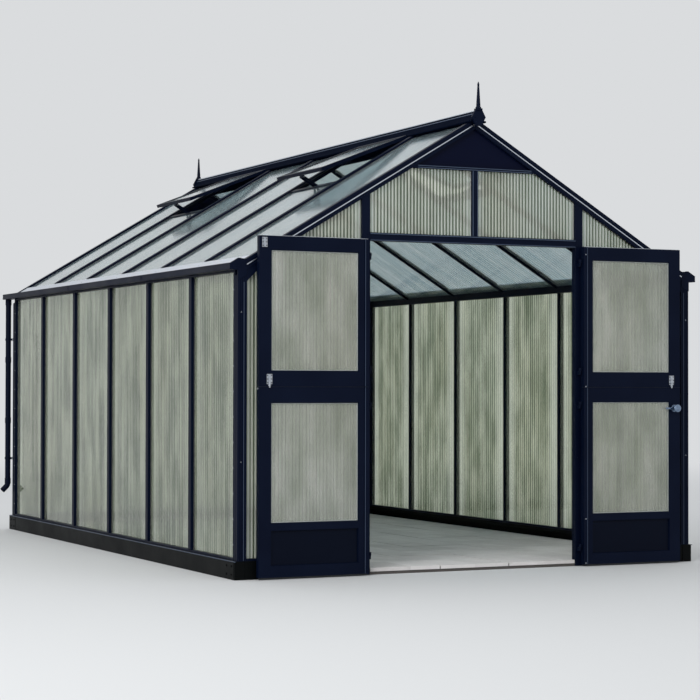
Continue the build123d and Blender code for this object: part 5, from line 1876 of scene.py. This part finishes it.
    def latches(self) -> None:
        """Builds the catch that ties the half leaves and, on the left leaf, the top bolt."""
        plates, screws, t = self.form(), self.form(), self.half
        catch = self.width - self.catch_in
        plates.prism(self.hook, PLAN.fit, self.hook_t, facing((catch, t, self.split), (0, 1, 0)),
                     bevel=0.6)
        self.latch(plates, screws, (catch, t, self.split + self.catch_lift), self.catch_plate,
                   self.catch_reach)
        if self.side is Side.LEFT:
            self.latch(plates, screws, (self.width - self.bolt_in, t, self.top - self.bolt_drop),
                       self.bolt_plate, 0.0)
        self.finish(plates, "catch_and_bolt", ZINC, "catches")
        self.finish(screws, "catch_screws", RUBBER)

    def handle(self) -> None:
        """Builds the knob with its rose and lever, and the pull outdoors."""
        knob, inward = self.form(), (0, 1, 0)
        x, z = self.width - self.knob_in, self.split - self.knob_drop
        inside, outside = (Matrix.Translation((x, y, z)) for y in (self.half, -self.half))
        knob.turned(self.knob, inside @ facing((0, PLAN.fit, 0), inward), steps=40)
        knob.block(*self.lever, inside, bevel=2.4)
        knob.turned(self.lever_end, inside @ facing(self.lever_spot, inward))
        knob.block(*self.pull, outside, bevel=5.0)
        knob.block(*self.pull_plate, outside, bevel=1.6)
        self.finish(knob, "knob_and_pull", CHROME, "handle", 42.0)

    def build(self) -> None:
        """Builds and dresses the whole leaf."""
        dress([f"{self.name}_kick_panel"], KICK, bevel=0.4)
        dress([f"{self.name}_hinges"], NAVY, bevel=0.6)
        self.latches()
        self.frames()
        self.infill()
        self.hardware()
        if self.side is Side.RIGHT:
            self.handle()


# Studio


@dataclass
class Studio:
    """Pale floor, soft lamps and the camera."""

    backdrop: str = "#dadcde"
    ground: str = "#d6d7d7"
    ground_rough: float = 0.9
    ground_r: float = 70.0  # metres
    ground_drop: float = 0.0005  # metres; keeps it clear of the greenhouse's underside
    fade: Pair = (5.0, 16.0)  # metres from the middle between which it turns into the backdrop
    sky: str = "#f4f7fb"
    sky_level: float = 0.75
    aim: Triple = (0.0, 0.0, 1.2)
    lamps: tuple[tuple[str, Triple, float, float], ...] = (  # name, place, size in metres, watts
        ("key_lamp", (-9.0, -8.0, 7.0), 5.0, 650.0),
        ("top_lamp", (0.5, 3.5, 10.0), 8.0, 220.0))
    camera_at: Triple = (-5.7193, -12.5626, 1.0651)
    yaw_deg: float = 25.381
    pitch_deg: float = 0.987
    roll: float = 0.0018
    lens: float = 105.28
    sensor: float = 36.0
    farthest: float = 300.0  # metres

    def seen(self, tree: Tree) -> Socket:
        """Adds a value that tells rays that show the background from rays that light.

        Args:
            tree: The node tree of the floor's material or of the world.

        Returns:
            1 for rays that show the background and 0 for rays that light the object.
        """
        ray = add_node(tree, "ShaderNodeLightPath")
        seen = ray.outputs["Is Camera Ray"]
        for name in ("Is Glossy Ray", "Is Transmission Ray"):
            seen = add_node(tree, "ShaderNodeMath", {0: seen, 1: ray.outputs[name]},
                            operation="MAXIMUM").outputs[0]
        return seen

    def floor(self) -> None:
        """Lays the pale floor, which isn't part of the object, and fades it out far away."""
        mesh = bpy.data.meshes.new("studio_floor")
        made = bmesh.new()
        bmesh.ops.create_circle(made, cap_ends=True, segments=96, radius=self.ground_r)
        made.to_mesh(mesh)
        made.free()
        material = bpy.data.materials.new("studio_floor_pale")
        material.use_nodes = True
        tree = material.node_tree
        shader = tree.nodes["Principled BSDF"]
        shader.inputs["Base Color"].default_value = linear(self.ground)
        shader.inputs["Roughness"].default_value = self.ground_rough
        place = add_node(tree, "ShaderNodeTexCoord").outputs["Object"]
        away = add_node(tree, "ShaderNodeVectorMath", {0: place}, operation="LENGTH")
        far = add_node(tree, "ShaderNodeMapRange", {
            "Value": away.outputs["Value"], "From Min": self.fade[0], "From Max": self.fade[1]},
            interpolation_type="SMOOTHSTEP")
        share = add_node(tree, "ShaderNodeMath", {
            0: far.outputs["Result"], 1: self.seen(tree)}, operation="MULTIPLY")
        pale = add_node(tree, "ShaderNodeEmission", {
            "Color": linear(self.backdrop), "Strength": 1.0})
        both = add_node(tree, "ShaderNodeMixShader", {
            0: share.outputs[0], 1: shader.outputs[0], 2: pale.outputs[0]})
        tree.links.new(both.outputs[0], tree.nodes["Material Output"].inputs["Surface"])
        mesh.materials.append(material)
        floor = bpy.data.objects.new("studio_floor", mesh)
        floor.location = (0, 0, -self.ground_drop)
        bpy.context.scene.collection.objects.link(floor)

    def world(self) -> None:
        """Makes a pale backdrop for what is seen and a softer sky for what is lit."""
        world = bpy.data.worlds.new("studio_world")
        bpy.context.scene.world = world
        world.use_nodes = True
        tree = world.node_tree
        tree.nodes.clear()
        lit = add_node(tree, "ShaderNodeBackground", {
            "Color": linear(self.sky), "Strength": self.sky_level})
        pale = add_node(tree, "ShaderNodeBackground", {
            "Color": linear(self.backdrop), "Strength": 1.0})
        both = add_node(tree, "ShaderNodeMixShader", {
            0: self.seen(tree), 1: lit.outputs[0], 2: pale.outputs[0]})
        add_node(tree, "ShaderNodeOutputWorld", {"Surface": both.outputs[0]})

    def light(self) -> None:
        """Adds the square soft lamps, which look at the middle of the greenhouse."""
        for name, at, size, watts in self.lamps:
            light = bpy.data.lights.new(name, "AREA")
            light.size = size
            light.energy = watts
            lamp = bpy.data.objects.new(name, light)
            lamp.matrix_world = facing(at, tuple(Vector(at) - Vector(self.aim)))
            bpy.context.scene.collection.objects.link(lamp)

    def camera(self) -> None:
        """Sets the camera where the photograph was taken."""
        yaw, pitch = math.radians(self.yaw_deg), math.radians(self.pitch_deg)
        ahead = Vector((math.sin(yaw) * math.cos(pitch), math.cos(yaw) * math.cos(pitch),
                        math.sin(pitch)))
        right = Vector((math.cos(yaw), -math.sin(yaw), 0))
        up = right.cross(ahead)
        x = right * math.cos(self.roll) + up * math.sin(self.roll)
        y = up * math.cos(self.roll) - right * math.sin(self.roll)
        data = bpy.data.cameras.new("photo_camera")
        data.lens = self.lens
        data.sensor_width = self.sensor
        data.clip_end = self.farthest
        camera = bpy.data.objects.new("photo_camera", data)
        camera.matrix_world = axes(tuple(x), tuple(y), tuple(-ahead), self.camera_at)
        bpy.context.scene.collection.objects.link(camera)
        bpy.context.scene.camera = camera

    def build(self) -> None:
        """Sets up the whole studio."""
        bpy.context.scene.view_settings.view_transform = "Standard"
        self.camera()
        self.world()
        self.floor()
        self.light()


def main() -> None:
    """Builds the sub-assemblies in order."""
    logging.basicConfig(level=logging.INFO, format="%(message)s")
    doors = [StableDoor(side) for side in Side]
    for assembly in (Studio(), BaseAndFloor(), SideWalls(), Gables(), RoofSlopes(), Ridge(),
                     RoofVents(), Gutters(), *doors):
        assembly.build()


if __name__ == "__main__":
    main()
